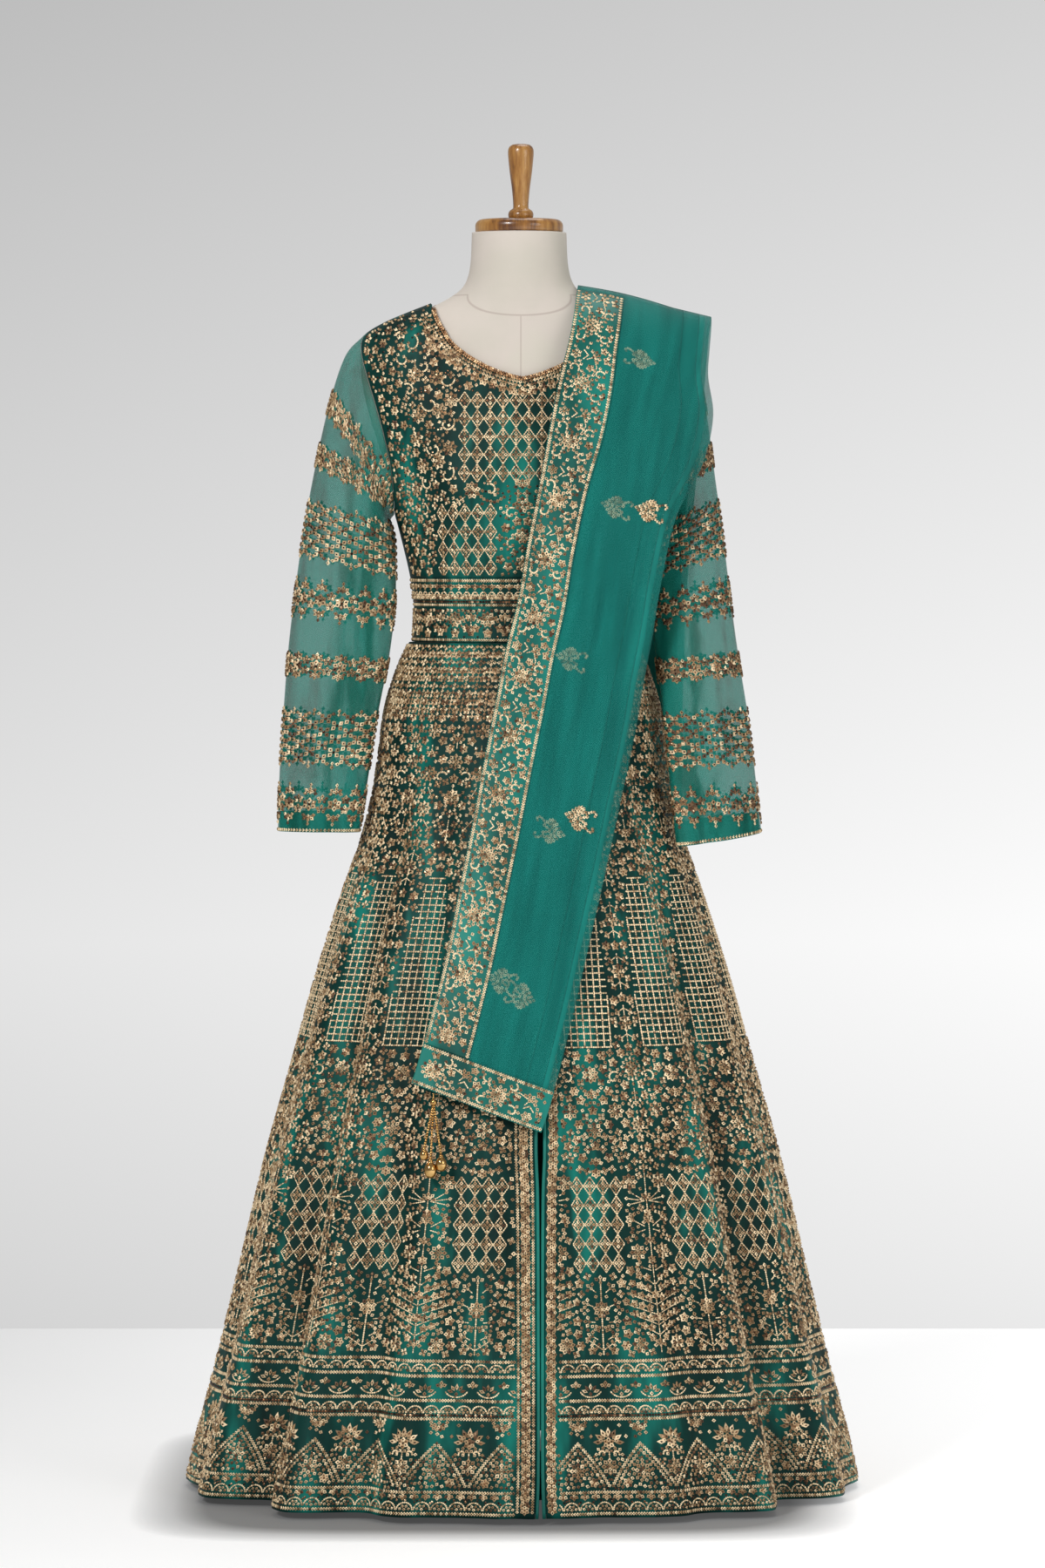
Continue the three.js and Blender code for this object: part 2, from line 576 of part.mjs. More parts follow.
function buildBodice() {
  const front = bodiceGrid(FRONT_COLUMNS, true);
  const back = bodiceGrid(BACK_COLUMNS, false);
  piece("bodice_front", clothWall(front), "net", { y: -SEAM_GAP / 2 });
  piece("bodice_back", clothWall(back), "net", { y: SEAM_GAP / 2 });

  const bandRows = evenly(WAIST_SEAM_Z, WAISTBAND_TOP_Z, 3);
  const band = (from, to) => gridOn((a, z) => offForm(a, z, EASE + CLOTH), evenly(toRad(from), toRad(to), 14), bandRows);
  piece("waistband_front", clothWall(band(-90, 90)), "net", { y: -SEAM_GAP / 2 });
  piece("waistband_back", clothWall(band(90, 270)), "net", { y: SEAM_GAP / 2 });

  // The beaded cord round the neck opening lies just past the panels' edges.
  const edgeOf = (grid) =>
    grid.neck.map((i) => ({
      at: grid.points.at(-1)[i].clone().addScaledVector(grid.normals.at(-1)[i], -CLOTH / 2),
      out: grid.normals.at(-1)[i],
    }));
  const edge = [...edgeOf(front), ...edgeOf(back).slice(1, -1)];
  const line = edge.map(({ at, out }, i) => {
    const along = edge[(i + 1) % edge.length].at.clone().sub(edge[(i + edge.length - 1) % edge.length].at);
    const past = out.clone().cross(along).normalize();
    return at.clone().addScaledVector(past, NECK_BINDING_R + 1.2).addScaledVector(out, 0.4);
  });
  const loop = new THREE.CatmullRomCurve3(line, true, "centripetal");
  piece("neck_binding", cordLoop(loop.getSpacedPoints(48).slice(0, -1), NECK_BINDING_R, 5), "gold");
}

// ---------------------------------------------------------------- skirt, lining and the slit's edges
const skirtSide = curveOf(SKIRT_SECTIONS, "side");
const skirtFront = curveOf(SKIRT_SECTIONS, "front");
const skirtBack = curveOf(SKIRT_SECTIONS, "back");
const skirtSquare = curveOf(SKIRT_SECTIONS, "square");
const slitHalf = curveOf(SLIT_OPENING, "half");

// How much of each flute there is at a height: none at the waist, all of it at the hem.
const fluting = (z) => Math.pow(clamp((WAIST_SEAM_Z - z) / (WAIST_SEAM_Z - HEM_Z), 0, 1), 1.15);

// The skirt's outer face. inset moves it towards the pole by a share of its radius.
function skirtPoint(angle, z, inset = 0) {
  const depth = Math.cos(angle) >= 0 ? skirtFront(z) : skirtBack(z);
  const p = skirtSquare(z);
  const round = (Math.abs(Math.sin(angle)) ** p + Math.abs(Math.cos(angle)) ** p) ** (-1 / p);
  const flat = new THREE.Vector3(skirtSide(z) * Math.sin(angle) * round, -depth * Math.cos(angle) * round, 0);
  let sunk = 0;
  for (const valley of SKIRT_VALLEYS) {
    const away = THREE.MathUtils.euclideanModulo(THREE.MathUtils.radToDeg(angle) - valley.angle + 180, 360) - 180;
    sunk += valley.depth * fluting(z) * Math.exp(-((away / valley.wide) ** 2));
  }
  flat.multiplyScalar((1 - sunk / flat.length()) * (1 - inset));
  return flat.setZ(z);
}

function liningInset(angle, z) {
  const hem = lerp(LINING_INSET.front, LINING_INSET.side, Math.abs(Math.sin(angle)) ** 3);
  return lerp(LINING_INSET.waist, hem, smooth(WAIST_SEAM_Z - z, 0, 700));
}

const slitAngle = (z, offset) => Math.asin((SLIT_X + offset) / skirtSide(z));
const seamAngle = (z, degrees, sign) => toRad(degrees) + (sign * SEAM_GAP) / 2 / skirtSide(z);

function buildSkirt() {
  const edge = (z) => slitHalf(z) + EDGING.wide + SEAM_GAP;
  const panel = (from, to, inset = () => 0) => (share, z) => {
    const angle = lerp(from(z), to(z), share);
    return skirtPoint(angle, z, inset(angle, z));
  };
  const panels = {
    skirt_front_right: panel((z) => seamAngle(z, -90, 1), (z) => slitAngle(z, -edge(z))),
    skirt_front_left: panel((z) => slitAngle(z, edge(z)), (z) => seamAngle(z, 90, -1)),
    skirt_back_left: panel((z) => seamAngle(z, 90, 1), (z) => seamAngle(z, 180, -1)),
    skirt_back_right: panel((z) => seamAngle(z, 180, 1), (z) => seamAngle(z, 270, -1)),
  };
  for (const [name, surface] of Object.entries(panels))
    piece(name, clothWall(gridOn(surface, evenly(0, 1, SKIRT_PANEL_COLUMNS), SKIRT_ROWS)), "net");

  const linings = {
    lining_right: panel((z) => seamAngle(z, -180, 1), (z) => slitAngle(z, -slitHalf(z) - 3), liningInset),
    lining_left: panel((z) => slitAngle(z, slitHalf(z) + 3), (z) => seamAngle(z, 180, -1), liningInset),
  };
  for (const [name, surface] of Object.entries(linings))
    piece(name, clothWall(gridOn(surface, evenly(0, 1, SKIRT_PANEL_COLUMNS * 2), LINING_ROWS)), "satin");

  const edging = (side) => (offset, z) =>
    skirtPoint(slitAngle(z, side * slitHalf(z) + offset), z, EDGING.inset / skirtFront(z));
  const across = evenly(0, EDGING.wide, 2);
  const satin = { thick: () => EDGING.thick };
  const left = gridOn(edging(1), across, SKIRT_ROWS);
  const right = gridOn(edging(-1), across.map((o) => o - EDGING.wide), SKIRT_ROWS);
  piece("slit_edge_left", clothWall(left, satin), "satin");
  piece("slit_edge_right", clothWall(right, satin), "satin");
}

// ---------------------------------------------------------------- sleeves
function buildSleeve(name, rings, side) {
  const round = armholeRound.map((a) => -side * a);
  const seam = SEAM_GAP * 1.5;
  const armhole = round.map((phi) => {
    const z = armholeMiddle + (armholeHalf - seam) * Math.cos(phi);
    const quarter = Math.PI / 2 - (toRad(ARMHOLE_BULGE_DEG) - seam / 150) * Math.sin(phi);
    const p = offForm(quarter, z, EASE + CLOTH);
    return new THREE.Vector3(side * (p.x + seam), p.y, p.z);
  });
  const ring = (r, j) =>
    round.map((phi) => {
      const outer = new THREE.Vector3(r.outerX, r.outerY, r.outerZ);
      const inner = new THREE.Vector3(r.innerX, r.innerY, r.innerZ);
      const middle = outer.clone().add(inner).multiplyScalar(0.5);
      const reach = outer.clone().sub(middle);
      const across = new THREE.Vector3(reach.y, -reach.x, 0).normalize();
      const degrees = THREE.MathUtils.euclideanModulo(THREE.MathUtils.radToDeg(phi), 360);
      const creased = SLEEVE_CREASES.reduce((sum, c) => sum + c.depth * Math.exp(-(((degrees - c.angle) / c.wide) ** 2)), 0);
      const hollow = r.depth - creased * smooth(j, 2, 6);
      const p = middle.addScaledVector(reach, Math.cos(phi)).addScaledVector(across, hollow * Math.sin(phi));
      return p.setX(side * p.x);
    });
  const sleeve = gridOfRings([armhole, ...rings.map(ring)].reverse());
  piece(`sleeve_${name}`, clothWall(sleeve, { closed: true }), "sheer");

  // The satin band lies inside the end of the sleeve, made from the sleeve's own points.
  const [lower, above] = sleeve.points;
  const up = CUFF_BAND / (rings.at(-2).outerZ - rings.at(-1).outerZ);
  const upper = above.map((p, i) => lower[i].clone().lerp(p, up));
  const band = { points: [lower, upper], normals: [sleeve.normals[0], sleeve.normals[0]] };
  piece(`cuff_${name}`, clothWall(band, { closed: true, thick: () => CUFF_THICK, lift: -CLOTH - 0.8 }), "satin");
}

// ---------------------------------------------------------------- the folded scarf
// How far the dressed body stands out from the middle plane, before (facing -1) or behind (facing 1).
function bodyDepth(x, z, facing) {
  const side = formSide(clamp(z, WAIST_SEAM_Z, 1472)) + EASE + CLOTH;
  const inside = 1 - ((x - formShift(z)) / side) ** 2;
  if (z > WAIST_SEAM_Z) {
    const quarter = Math.asin(clamp((x - formShift(z)) / side, -1, 1));
    const angle = facing < 0 ? quarter : Math.PI - quarter;
    return inside > 0 ? facing * formSurface(angle, z).y + EASE + CLOTH : 0;
  }
  const p = skirtSquare(z);
  const depth = facing < 0 ? skirtFront(z) : skirtBack(z);
  return depth * Math.max(1 - Math.abs(x / skirtSide(z)) ** p, 0) ** (1 / p);
}

// The scarf's outer face: across is from its neck edge, down is from the shoulder.
function scarfSurface({ table, facing, foot }) {
  const [left, right, out] = ["left", "right", "out"].map((name) => curveOf(table, name, "down"));
  return (across, down) => {
    const x = lerp(left(down), right(down), across);
    const bow = SCARF_CREST.bow * Math.sin(Math.PI * clamp(across * 1.4, 0, 1));
    const z = lerp(lerp(SCARF_CREST.left, SCARF_CREST.right, across) + bow, lerp(foot.left, foot.right, across), down);
    const reach = lerp(SCARF_REACH.shoulder, SCARF_REACH.foot, smooth(950 - z, 0, 600));
    const hung = out(down) * Math.sqrt(1 - (x / reach) ** 2);
    const rests = bodyDepth(x, z, facing) + SCARF_CLEAR + SCARF_PILE[0].thick;
    return new THREE.Vector3(x, facing * (down > 0.003 ? Math.max(hung, rests) : hung), z);
  };
}

function buildFall(name, fall, across, borderColumns) {
  const downs = fall.table.map((r) => r.down).reverse();
  // Columns run round the body, so those of the back fall run the other way across it.
  const columns = fall.facing < 0 ? across : [...across].reverse();
  const grid = gridOn(scarfSurface(fall), columns, downs);
  const pile = curveOf(SCARF_PILE, "thick", "across");
  const place = { y: fall.facing * SEAM_GAP };
  piece(`scarf_${name}`, clothWall(grid, { thick: (i) => pile(columns[i]) }), "sheer", place);

  // The borders lie on the scarf, made from its own points moved out.
  const last = columns.length - 1;
  const sideColumns = fall.facing < 0 ? [0, borderColumns] : [last - borderColumns, last];
  const endRows = downs.filter((d) => d >= fall.endBorder - 1e-9).length - 1;
  const border = { thick: () => BORDER.thick, lift: BORDER.lift + BORDER.thick };
  const side = cutOf(grid, sideColumns, [endRows, downs.length - 2]);
  const nudge = side.points[1].map((p, i) => p.clone().sub(side.points[0][i]).setLength(SEAM_GAP));
  side.points[0] = side.points[0].map((p, i) => p.clone().add(nudge[i]));
  piece(`scarf_side_border_${name}`, clothWall(side, border), "gold", place);
  const end = cutOf(grid, [0, last], [0, endRows]);
  piece(`scarf_end_border_${name}`, clothWall(end, border), "gold", place);
}

const frontFall = { table: SCARF_FRONT, facing: -1, foot: SCARF_FOOT, endBorder: FRONT_END_BORDER };
const backFall = {
  table: SCARF_BACK,
  facing: 1,
  foot: { left: SCARF_BACK_FOOT_Z, right: SCARF_BACK_FOOT_Z },
  endBorder: BACK_END_BORDER,
};

function buildScarf() {
  const across = SCARF_PILE.map((s) => s.across);
  buildFall("front", frontFall, across, across.indexOf(SIDE_BORDER_ACROSS));
  const plain = across.filter((_, i) => i % 2 === 0 || across[i] === SIDE_BORDER_ACROSS || i === across.length - 1);
  buildFall("back", backFall, plain, plain.indexOf(SIDE_BORDER_ACROSS));
}

// ---------------------------------------------------------------- the bead tassel
function buildTassel() {
  const { across, drop, knotR, stringR } = TASSEL;
  const corner = scarfSurface(frontFall)(across, 1);
  corner.y -= SEAM_GAP;
  const knot = corner.clone().setZ(corner.z - drop);
  const hangerTall = drop - SEAM_GAP * 1.5;
  const hanger = new THREE.CylinderGeometry(0.9, 0.9, hangerTall, 6).rotateX(Math.PI / 2);
  let tassel = solidOf(new THREE.SphereGeometry(knotR, 8, 5).translate(knot.x, knot.y, knot.z));
  tassel = tassel.add(solidOf(hanger.translate(knot.x, knot.y, knot.z + hangerTall / 2)));
  for (const { dx, dy, long, bellR, bellTall } of TASSEL_STRINGS) {
    const foot = knot.clone().add(new THREE.Vector3(dx, dy, -long));
    const middle = knot.clone().add(new THREE.Vector3(dx * 0.45, dy * 0.5, -long * 0.45));
    const line = new THREE.CatmullRomCurve3([knot, middle, foot]);
    const section = new THREE.Shape().absarc(0, 0, stringR, 0, 2 * Math.PI);
    const string = new THREE.ExtrudeGeometry(section, { extrudePath: line, steps: 6, curveSegments: 3 });
    const bell = BELL_PROFILE.map((p) => [p.r * bellR, p.z * bellTall]);
    const drop3 = lathed([[0, -bellTall], ...bell, [0, 0.16 * bellTall]], 9).translate(foot.x, foot.y, foot.z);
    tassel = tassel.add(solidOf(string)).add(solidOf(drop3));
  }
  piece("tassel", geometryFrom(tassel), "bell");
}

buildForm();
buildBodice();
buildSkirt();
buildSleeve("right", RIGHT_SLEEVE, -1);
buildSleeve("left", LEFT_SLEEVE, 1);
buildScarf();
buildTassel();

export default gown;
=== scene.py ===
# %% [markdown]
# # An embroidered gown on a dress form
# The gown has a fitted bodice, a waistband, long sheer sleeves and a fluted skirt with a slit down its front.
# A folded scarf is pinned over one shoulder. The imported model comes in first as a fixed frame. Its nodes say
# where everything is, and each cloth node is then replaced by a finer piece that follows the same surface.

# %% Load the frame
import math

import bmesh
import bpy
import numpy as np
from mathutils import Matrix, Vector


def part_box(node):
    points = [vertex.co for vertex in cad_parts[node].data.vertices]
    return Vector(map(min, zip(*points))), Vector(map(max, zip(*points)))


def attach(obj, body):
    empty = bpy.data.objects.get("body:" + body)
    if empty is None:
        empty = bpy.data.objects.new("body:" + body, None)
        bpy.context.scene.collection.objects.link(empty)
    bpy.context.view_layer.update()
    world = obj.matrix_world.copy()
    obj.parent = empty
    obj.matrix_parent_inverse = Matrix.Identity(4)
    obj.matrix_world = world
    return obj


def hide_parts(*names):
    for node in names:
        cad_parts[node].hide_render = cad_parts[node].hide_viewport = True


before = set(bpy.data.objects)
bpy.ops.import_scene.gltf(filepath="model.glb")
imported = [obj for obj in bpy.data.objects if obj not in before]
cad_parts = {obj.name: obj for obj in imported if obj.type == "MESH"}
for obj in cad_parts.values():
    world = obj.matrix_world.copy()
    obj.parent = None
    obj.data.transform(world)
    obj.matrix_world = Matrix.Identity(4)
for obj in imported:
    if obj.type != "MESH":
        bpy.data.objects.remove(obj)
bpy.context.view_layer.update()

MM = 0.001
rng = np.random.default_rng(7)

# %% [markdown]
# Every surface here starts from a short table of the maker's sizes in millimetres, read by a smooth curve.
# The same could be done by sculpting or by fitting a mesh, but tables are easy to read and to change, and one
# function can give a coarse wall, a fine wall or the place of a single stitch.

# %% Sizes of the form and the gown
CLOTH, EASE, SEAM_GAP = 1.2, 3.0, 0.4
HEM_Z, WAIST_SEAM_Z, WAISTBAND_TOP_Z = 8.0, 1021.0, 1099.0
ARMPIT_Z, SHOULDER_TIP_Z, ARMHOLE_BULGE = 1175.0, 1389.0, math.radians(25)
NECK_POINT_DEG, FRONT_NECK_Z, BACK_NECK_Z = 34.6, 1333.0, 1397.0
# height, half width, depth before, depth behind, shift of the middle
FORM = [
    (738, 112, 74, 86, 0), (748, 140, 94, 110, 0), (775, 152, 102, 122, 0), (820, 158, 109, 131, 0),
    (868, 159, 111, 133, 0), (918, 154, 107, 119, 0), (970, 142, 98, 100, 0), (1015, 131, 91, 87, 0),
    (1055, 127, 89, 82, 0), (1095, 131, 95, 85, 0), (1140, 141, 107, 91, 0), (1185, 153, 115, 96, 0),
    (1230, 166, 112, 98, 0), (1275, 181, 102, 99, 0), (1315, 192, 92, 97, 0), (1347, 197, 83, 92, 0),
    (1372, 196, 75, 85, 0), (1389, 187, 70, 80, 0), (1403, 163, 66, 75, -1), (1415, 134, 63, 70, -2),
    (1426, 105, 60, 66, -3), (1437, 82, 58, 62, -4), (1450, 67, 56.5, 59, -4), (1472, 59.5, 56, 57, -4),
    (1514, 57, 55, 55, -4),
]
BUST_X, BUST_Z, BUST_WIDE, BUST_TALL, BUST_OUT = 84, 1203, 46, 50, 13
# height, half width, depth before, depth behind, how square
SKIRT = [
    (8, 408, 326, 346, 2.85), (63, 395, 318, 338, 2.8), (157, 370, 303, 322, 2.7), (275, 341, 282, 302, 2.6),
    (402, 311, 258, 278, 2.5), (515, 279, 234, 252, 2.4), (619, 250, 209, 224, 2.3), (725, 216, 182, 194, 2.2),
    (777, 197, 168, 178, 2.15), (830, 183, 154, 163, 2.1), (878, 175, 144, 151, 2.05), (942, 166, 129, 134, 2),
    (990, 151, 112, 110, 2), (1021, 137, 99, 92, 2),
]
# the valleys between the skirt's flutes: degrees from the front, width, depth at the hem
VALLEYS = [
    (15, 7, 10), (32, 6, 24), (51, 6.5, 60), (71, 7, 18), (98, 7, 26), (123, 7, 46), (144, 7, 26),
    (163, 7, 34), (-13, 6, 9), (-29, 6, 34), (-50, 6.5, 62), (-72, 7, 16), (-101, 7, 28), (-127, 7, 44),
    (-149, 7, 24), (-172, 7, 30),
]
# how fast the flutes deepen towards the hem
FLUTE_POWER = 1.15
SLIT_X = 21
SLIT_OPENING = [(8, 2.2), (60, 0.7), (250, 0.6), (380, 1.4), (430, 3.2), (500, 2.4), (640, 0.7), (1021, 0.5)]
EDGING_WIDE, EDGING_INSET, EDGING_CROWN = 4.2, 1.2, 1.1

# %% Reading the tables
def curve(table, column, at):
    """A smooth curve through one column of a table, read by its first column."""
    rows = np.array(sorted(table), float)
    x, y = rows[:, 0], rows[:, column]
    slope = np.zeros_like(y)
    slope[1:-1] = (y[2:] - y[:-2]) / (x[2:] - x[:-2])
    slope[0], slope[-1] = (y[1] - y[0]) / (x[1] - x[0]), (y[-1] - y[-2]) / (x[-1] - x[-2])
    at = np.asarray(at, float)
    i = np.clip(np.searchsorted(x, at) - 1, 0, len(x) - 2)
    step = x[i + 1] - x[i]
    t = np.clip((at - x[i]) / step, 0, 1)
    rise = (2 * t**3 - 3 * t**2 + 1) * y[i] + (3 * t**2 - 2 * t**3) * y[i + 1]
    return rise + (t**3 - 2 * t**2 + t) * step * slope[i] + (t**3 - t**2) * step * slope[i + 1]


def smoothstep(x, low, high):
    t = np.clip((x - low) / (high - low), 0, 1)
    return t * t * (3 - 2 * t)


def form_point(angle, z):
    """The dress form's surface: angle 0 is its front, and a positive angle is the wearer's left."""
    angle, z = np.broadcast_arrays(np.asarray(angle, float), np.asarray(z, float))
    depth = np.where(np.cos(angle) >= 0, curve(FORM, 2, z), curve(FORM, 3, z))
    x = curve(FORM, 1, z) * np.sin(angle)
    cups = np.exp(-(((abs(x) - BUST_X) / BUST_WIDE) ** 2) - ((z - BUST_Z) / BUST_TALL) ** 2)
    y = -depth * np.cos(angle) - BUST_OUT * cups * np.maximum(np.cos(angle), 0)
    return np.stack([x + curve(FORM, 4, z), y, z], -1)


def off_form(angle, z, away=EASE + CLOTH):
    across = form_point(angle + 0.01, z) - form_point(angle - 0.01, z)
    up = form_point(angle, z + 0.5) - form_point(angle, z - 0.5)
    normal = np.cross(across, up)
    return form_point(angle, z) + away * normal / np.linalg.norm(normal, axis=-1, keepdims=True)


def fluting(z):
    return np.clip((WAIST_SEAM_Z - z) / (WAIST_SEAM_Z - HEM_Z), 0, 1) ** FLUTE_POWER


def skirt_point(angle, z, inset=0.0):
    """The skirt's outer face, with its flutes. inset moves it inwards by a share of its radius."""
    angle, z = np.broadcast_arrays(np.asarray(angle, float), np.asarray(z, float))
    depth = np.where(np.cos(angle) >= 0, curve(SKIRT, 2, z), curve(SKIRT, 3, z))
    p = curve(SKIRT, 4, z)
    round_ = (abs(np.sin(angle)) ** p + abs(np.cos(angle)) ** p) ** (-1 / p)
    x, y = curve(SKIRT, 1, z) * np.sin(angle) * round_, -depth * np.cos(angle) * round_
    radius = np.hypot(x, y)
    sunk = 0
    for at, wide, deep in VALLEYS:
        off = (np.degrees(angle) - at + 180) % 360 - 180
        sunk = sunk + deep * np.exp(-((off / wide) ** 2))
    keep = (1 - sunk * fluting(z) / radius) * (1 - inset)
    return np.stack([x * keep, y * keep, z], -1)


hem_front, hem_side = skirt_point(np.array([0.0, math.pi / 2]), HEM_Z).round(1)
print("skirt at the hem, front", hem_front, "side", hem_side)

# %% [markdown]
# Cloth pieces are all made one way. A bmesh grid gives the topology, each of its points moves onto the surface,
# and a Solidify modifier gives the wall. A cloth simulation could give the drape, but the frame already fixes it,
# and a grid on a formula keeps the seams together. Each piece also gets a UV map in centimetres of real cloth, so
# its weave has the same size everywhere.

# %% Making a cloth piece
def lengths_along(points, axis):
    """Distance along a grid from its first row or its first column, for each line of points."""
    step = np.linalg.norm(np.diff(points, axis=axis), axis=-1)
    total = np.cumsum(step, axis=axis)
    return np.insert(total, 0, 0, axis=axis)


def outward_sign(points, inside):
    across, up = np.gradient(points, axis=1), np.gradient(points, axis=0)
    return 1 if (np.cross(across, up) * (points - inside)).sum() >= 0 else -1


def axis_of(points):
    return points * (0, 0, 1)


def new_object(name, mesh, *materials):
    thing = bpy.data.objects.new(name, mesh)
    bpy.context.scene.collection.objects.link(thing)
    for material in materials:
        mesh.materials.append(material)
    return thing


def mesh_from(bm, name):
    mesh = bpy.data.meshes.new(name)
    bm.to_mesh(mesh)
    bm.free()
    return mesh


def stand_in(node):
    """Hides one of the frame's nodes, whose place a finished piece takes."""
    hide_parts(node)


def cloth_piece(name, points, material, thick=CLOTH, closed=False, inside=None, fill=None):
    """points is a grid of rows and columns in mm. The wall lies behind it, away from its outer side."""
    rows, columns = points.shape[:2]
    bm = bmesh.new()
    bmesh.ops.create_grid(bm, x_segments=columns - 1, y_segments=rows - 1, size=1)
    mesh = bpy.data.meshes.new(name)
    bm.to_mesh(mesh)
    place = np.empty(len(mesh.vertices) * 3, np.float32)
    mesh.vertices.foreach_get("co", place)
    place = place.reshape(-1, 3)
    i = np.rint((place[:, 0] + 1) / 2 * (columns - 1)).astype(int)
    j = np.rint((place[:, 1] + 1) / 2 * (rows - 1)).astype(int)
    mesh.vertices.foreach_set("co", (points[j, i] * MM).astype(np.float32).ravel())
    uv = np.stack([lengths_along(points, 1)[j, i], lengths_along(points, 0).mean(1)[j]], -1) / 10
    corner = np.empty(len(mesh.loops), np.int32)
    mesh.loops.foreach_get("vertex_index", corner)
    mesh.uv_layers.new(name="cloth").data.foreach_set("uv", uv[corner].astype(np.float32).ravel())
    if fill is not None:
        mesh.attributes.new("fill", "FLOAT", "POINT").data.foreach_set("value", fill[j, i].astype(np.float32))
    bm.clear()
    bm.from_mesh(mesh)
    if closed:
        bmesh.ops.remove_doubles(bm, verts=bm.verts, dist=1e-5)
    if outward_sign(points, axis_of(points) if inside is None else inside) < 0:
        bmesh.ops.reverse_faces(bm, faces=bm.faces)
    for face in bm.faces:
        face.smooth = True
    bm.to_mesh(mesh)
    bm.free()
    thing = new_object(name, mesh, material)
    wall = thing.modifiers.new("wall", "SOLIDIFY")
    wall.thickness, wall.offset = thick * MM, -1
    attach(thing, "root")
    return thing


# %% [markdown]
# The finishes are node trees on Principled shaders. Satin and net share one hue of teal. The thread is a dull
# gold cord and the sequins are copper dishes. Both read a random number that each stitch carries, so no two are
# quite the same colour. Numbers that are the same all over sit on the shader's own sockets.

# %% Node helpers
def new_material(name, color=(0.5, 0.5, 0.5), rough=0.5, metal=0.0, **inputs):
    material = bpy.data.materials.new(name)
    material.use_nodes = True
    shader = material.node_tree.nodes["Principled BSDF"]
    shader.inputs["Base Color"].default_value = (*color, 1)
    shader.inputs["Roughness"].default_value = rough
    shader.inputs["Metallic"].default_value = metal
    for key, value in inputs.items():
        shader.inputs[key.replace("_", " ")].default_value = value
    return material, material.node_tree, shader


def add_node(tree, kind, sockets=None, **settings):
    node = tree.nodes.new(kind)
    for key, value in settings.items():
        setattr(node, key, value)
    for key, value in (sockets or {}).items():
        if isinstance(value, bpy.types.NodeSocket):
            tree.links.new(value, node.inputs[key])
        else:
            node.inputs[key].default_value = value
    return node


def ramp(tree, value, *stops):
    node = add_node(tree, "ShaderNodeValToRGB", {0: value})
    while len(node.color_ramp.elements) < len(stops):
        node.color_ramp.elements.new(0.5)
    for element, (position, color) in zip(node.color_ramp.elements, stops):
        element.position, element.color = position, (*color, 1) if len(color) == 3 else color
    return node.outputs[0]


def blend_colors(tree, factor, first, second):
    return add_node(tree, "ShaderNodeMix", {0: factor, 6: first, 7: second}, data_type="RGBA").outputs[2]


def math_node(tree, operation, first, second=0.0):
    return add_node(tree, "ShaderNodeMath", {0: first, 1: second}, operation=operation).outputs[0]


def plus(tree, first, second):
    return math_node(tree, "ADD", first, second)


def times(tree, first, second):
    return math_node(tree, "MULTIPLY", first, second)


def mapped(tree, place, scale):
    return add_node(tree, "ShaderNodeMapping", {"Vector": place, "Scale": scale}).outputs[0]


def object_place(tree, scale=(1, 1, 1)):
    return mapped(tree, add_node(tree, "ShaderNodeTexCoord").outputs["Object"], scale)


def cloth_place(tree, scale=(1, 1, 1)):
    """The cloth's own UV, in centimetres."""
    return mapped(tree, add_node(tree, "ShaderNodeUVMap", uv_map="cloth").outputs[0], scale)


def attribute(tree, name):
    return add_node(tree, "ShaderNodeAttribute", attribute_name=name).outputs["Fac"]


def noise(tree, place, scale, detail=3.0, rough=0.5):
    sockets = {"Vector": place, "Scale": scale, "Detail": detail, "Roughness": rough}
    return add_node(tree, "ShaderNodeTexNoise", sockets).outputs[0]


def add_bump(tree, shader, height, strength, distance):
    sockets = {"Height": height, "Strength": strength, "Distance": distance}
    tree.links.new(add_node(tree, "ShaderNodeBump", sockets).outputs[0], shader.inputs["Normal"])


# %% Teal satin, for linings, cuffs and the slit's edges
# the satin's colour runs from painted shade through its own teal to painted highlight
TEAL_SHADE, TEAL, TEAL_HIGHLIGHT = (0.001, 0.013, 0.0105), (0.002, 0.062, 0.049), (0.006, 0.22, 0.175)
# the painted shade and highlight of the folds run down the cloth, so their noise is drawn out that way
FOLD_STRETCH = (1, 1, 0.16)
FOLD_FINENESS = 22.0


def satin_material(name, rough, *stops):
    """Satin shows long streaks of light and dark where it mirrors light along its folds; here they are painted
    highlight and shade in its colour.
    """
    material, tree, shader = new_material(name, rough=rough, Specular_IOR_Level=0.3)
    folds = noise(tree, object_place(tree, FOLD_STRETCH), FOLD_FINENESS)
    tree.links.new(ramp(tree, folds, *stops), shader.inputs["Base Color"])
    wave = {"Vector": object_place(tree), "Scale": 700.0, "Distortion": 1.5}
    threads = add_node(tree, "ShaderNodeTexWave", wave)
    add_bump(tree, shader, threads.outputs[0], 0.1, 0.0003)
    return material


satin = satin_material("teal_satin", 0.36, (0.3, TEAL_SHADE), (0.5, TEAL), (0.75, TEAL_HIGHLIGHT))
# a lighter copy of the satin with the same painted streaks; on the slit's edge rolls its lightness is a painted
# highlight
border_satin = satin_material("border_satin", 0.4, (0.3, TEAL), (0.7, TEAL_HIGHLIGHT))

# %% Embroidered net, for the bodice and the skirt
THREAD_DARK, THREAD, THREAD_LIGHT = (0.09, 0.042, 0.016), (0.36, 0.225, 0.105), (0.98, 0.77, 0.49)
COPPER_DARK, COPPER, COPPER_GLINT = (0.02, 0.009, 0.005), (0.22, 0.1, 0.045), (0.8, 0.55, 0.34)
GATHER_HIDES = 0.2


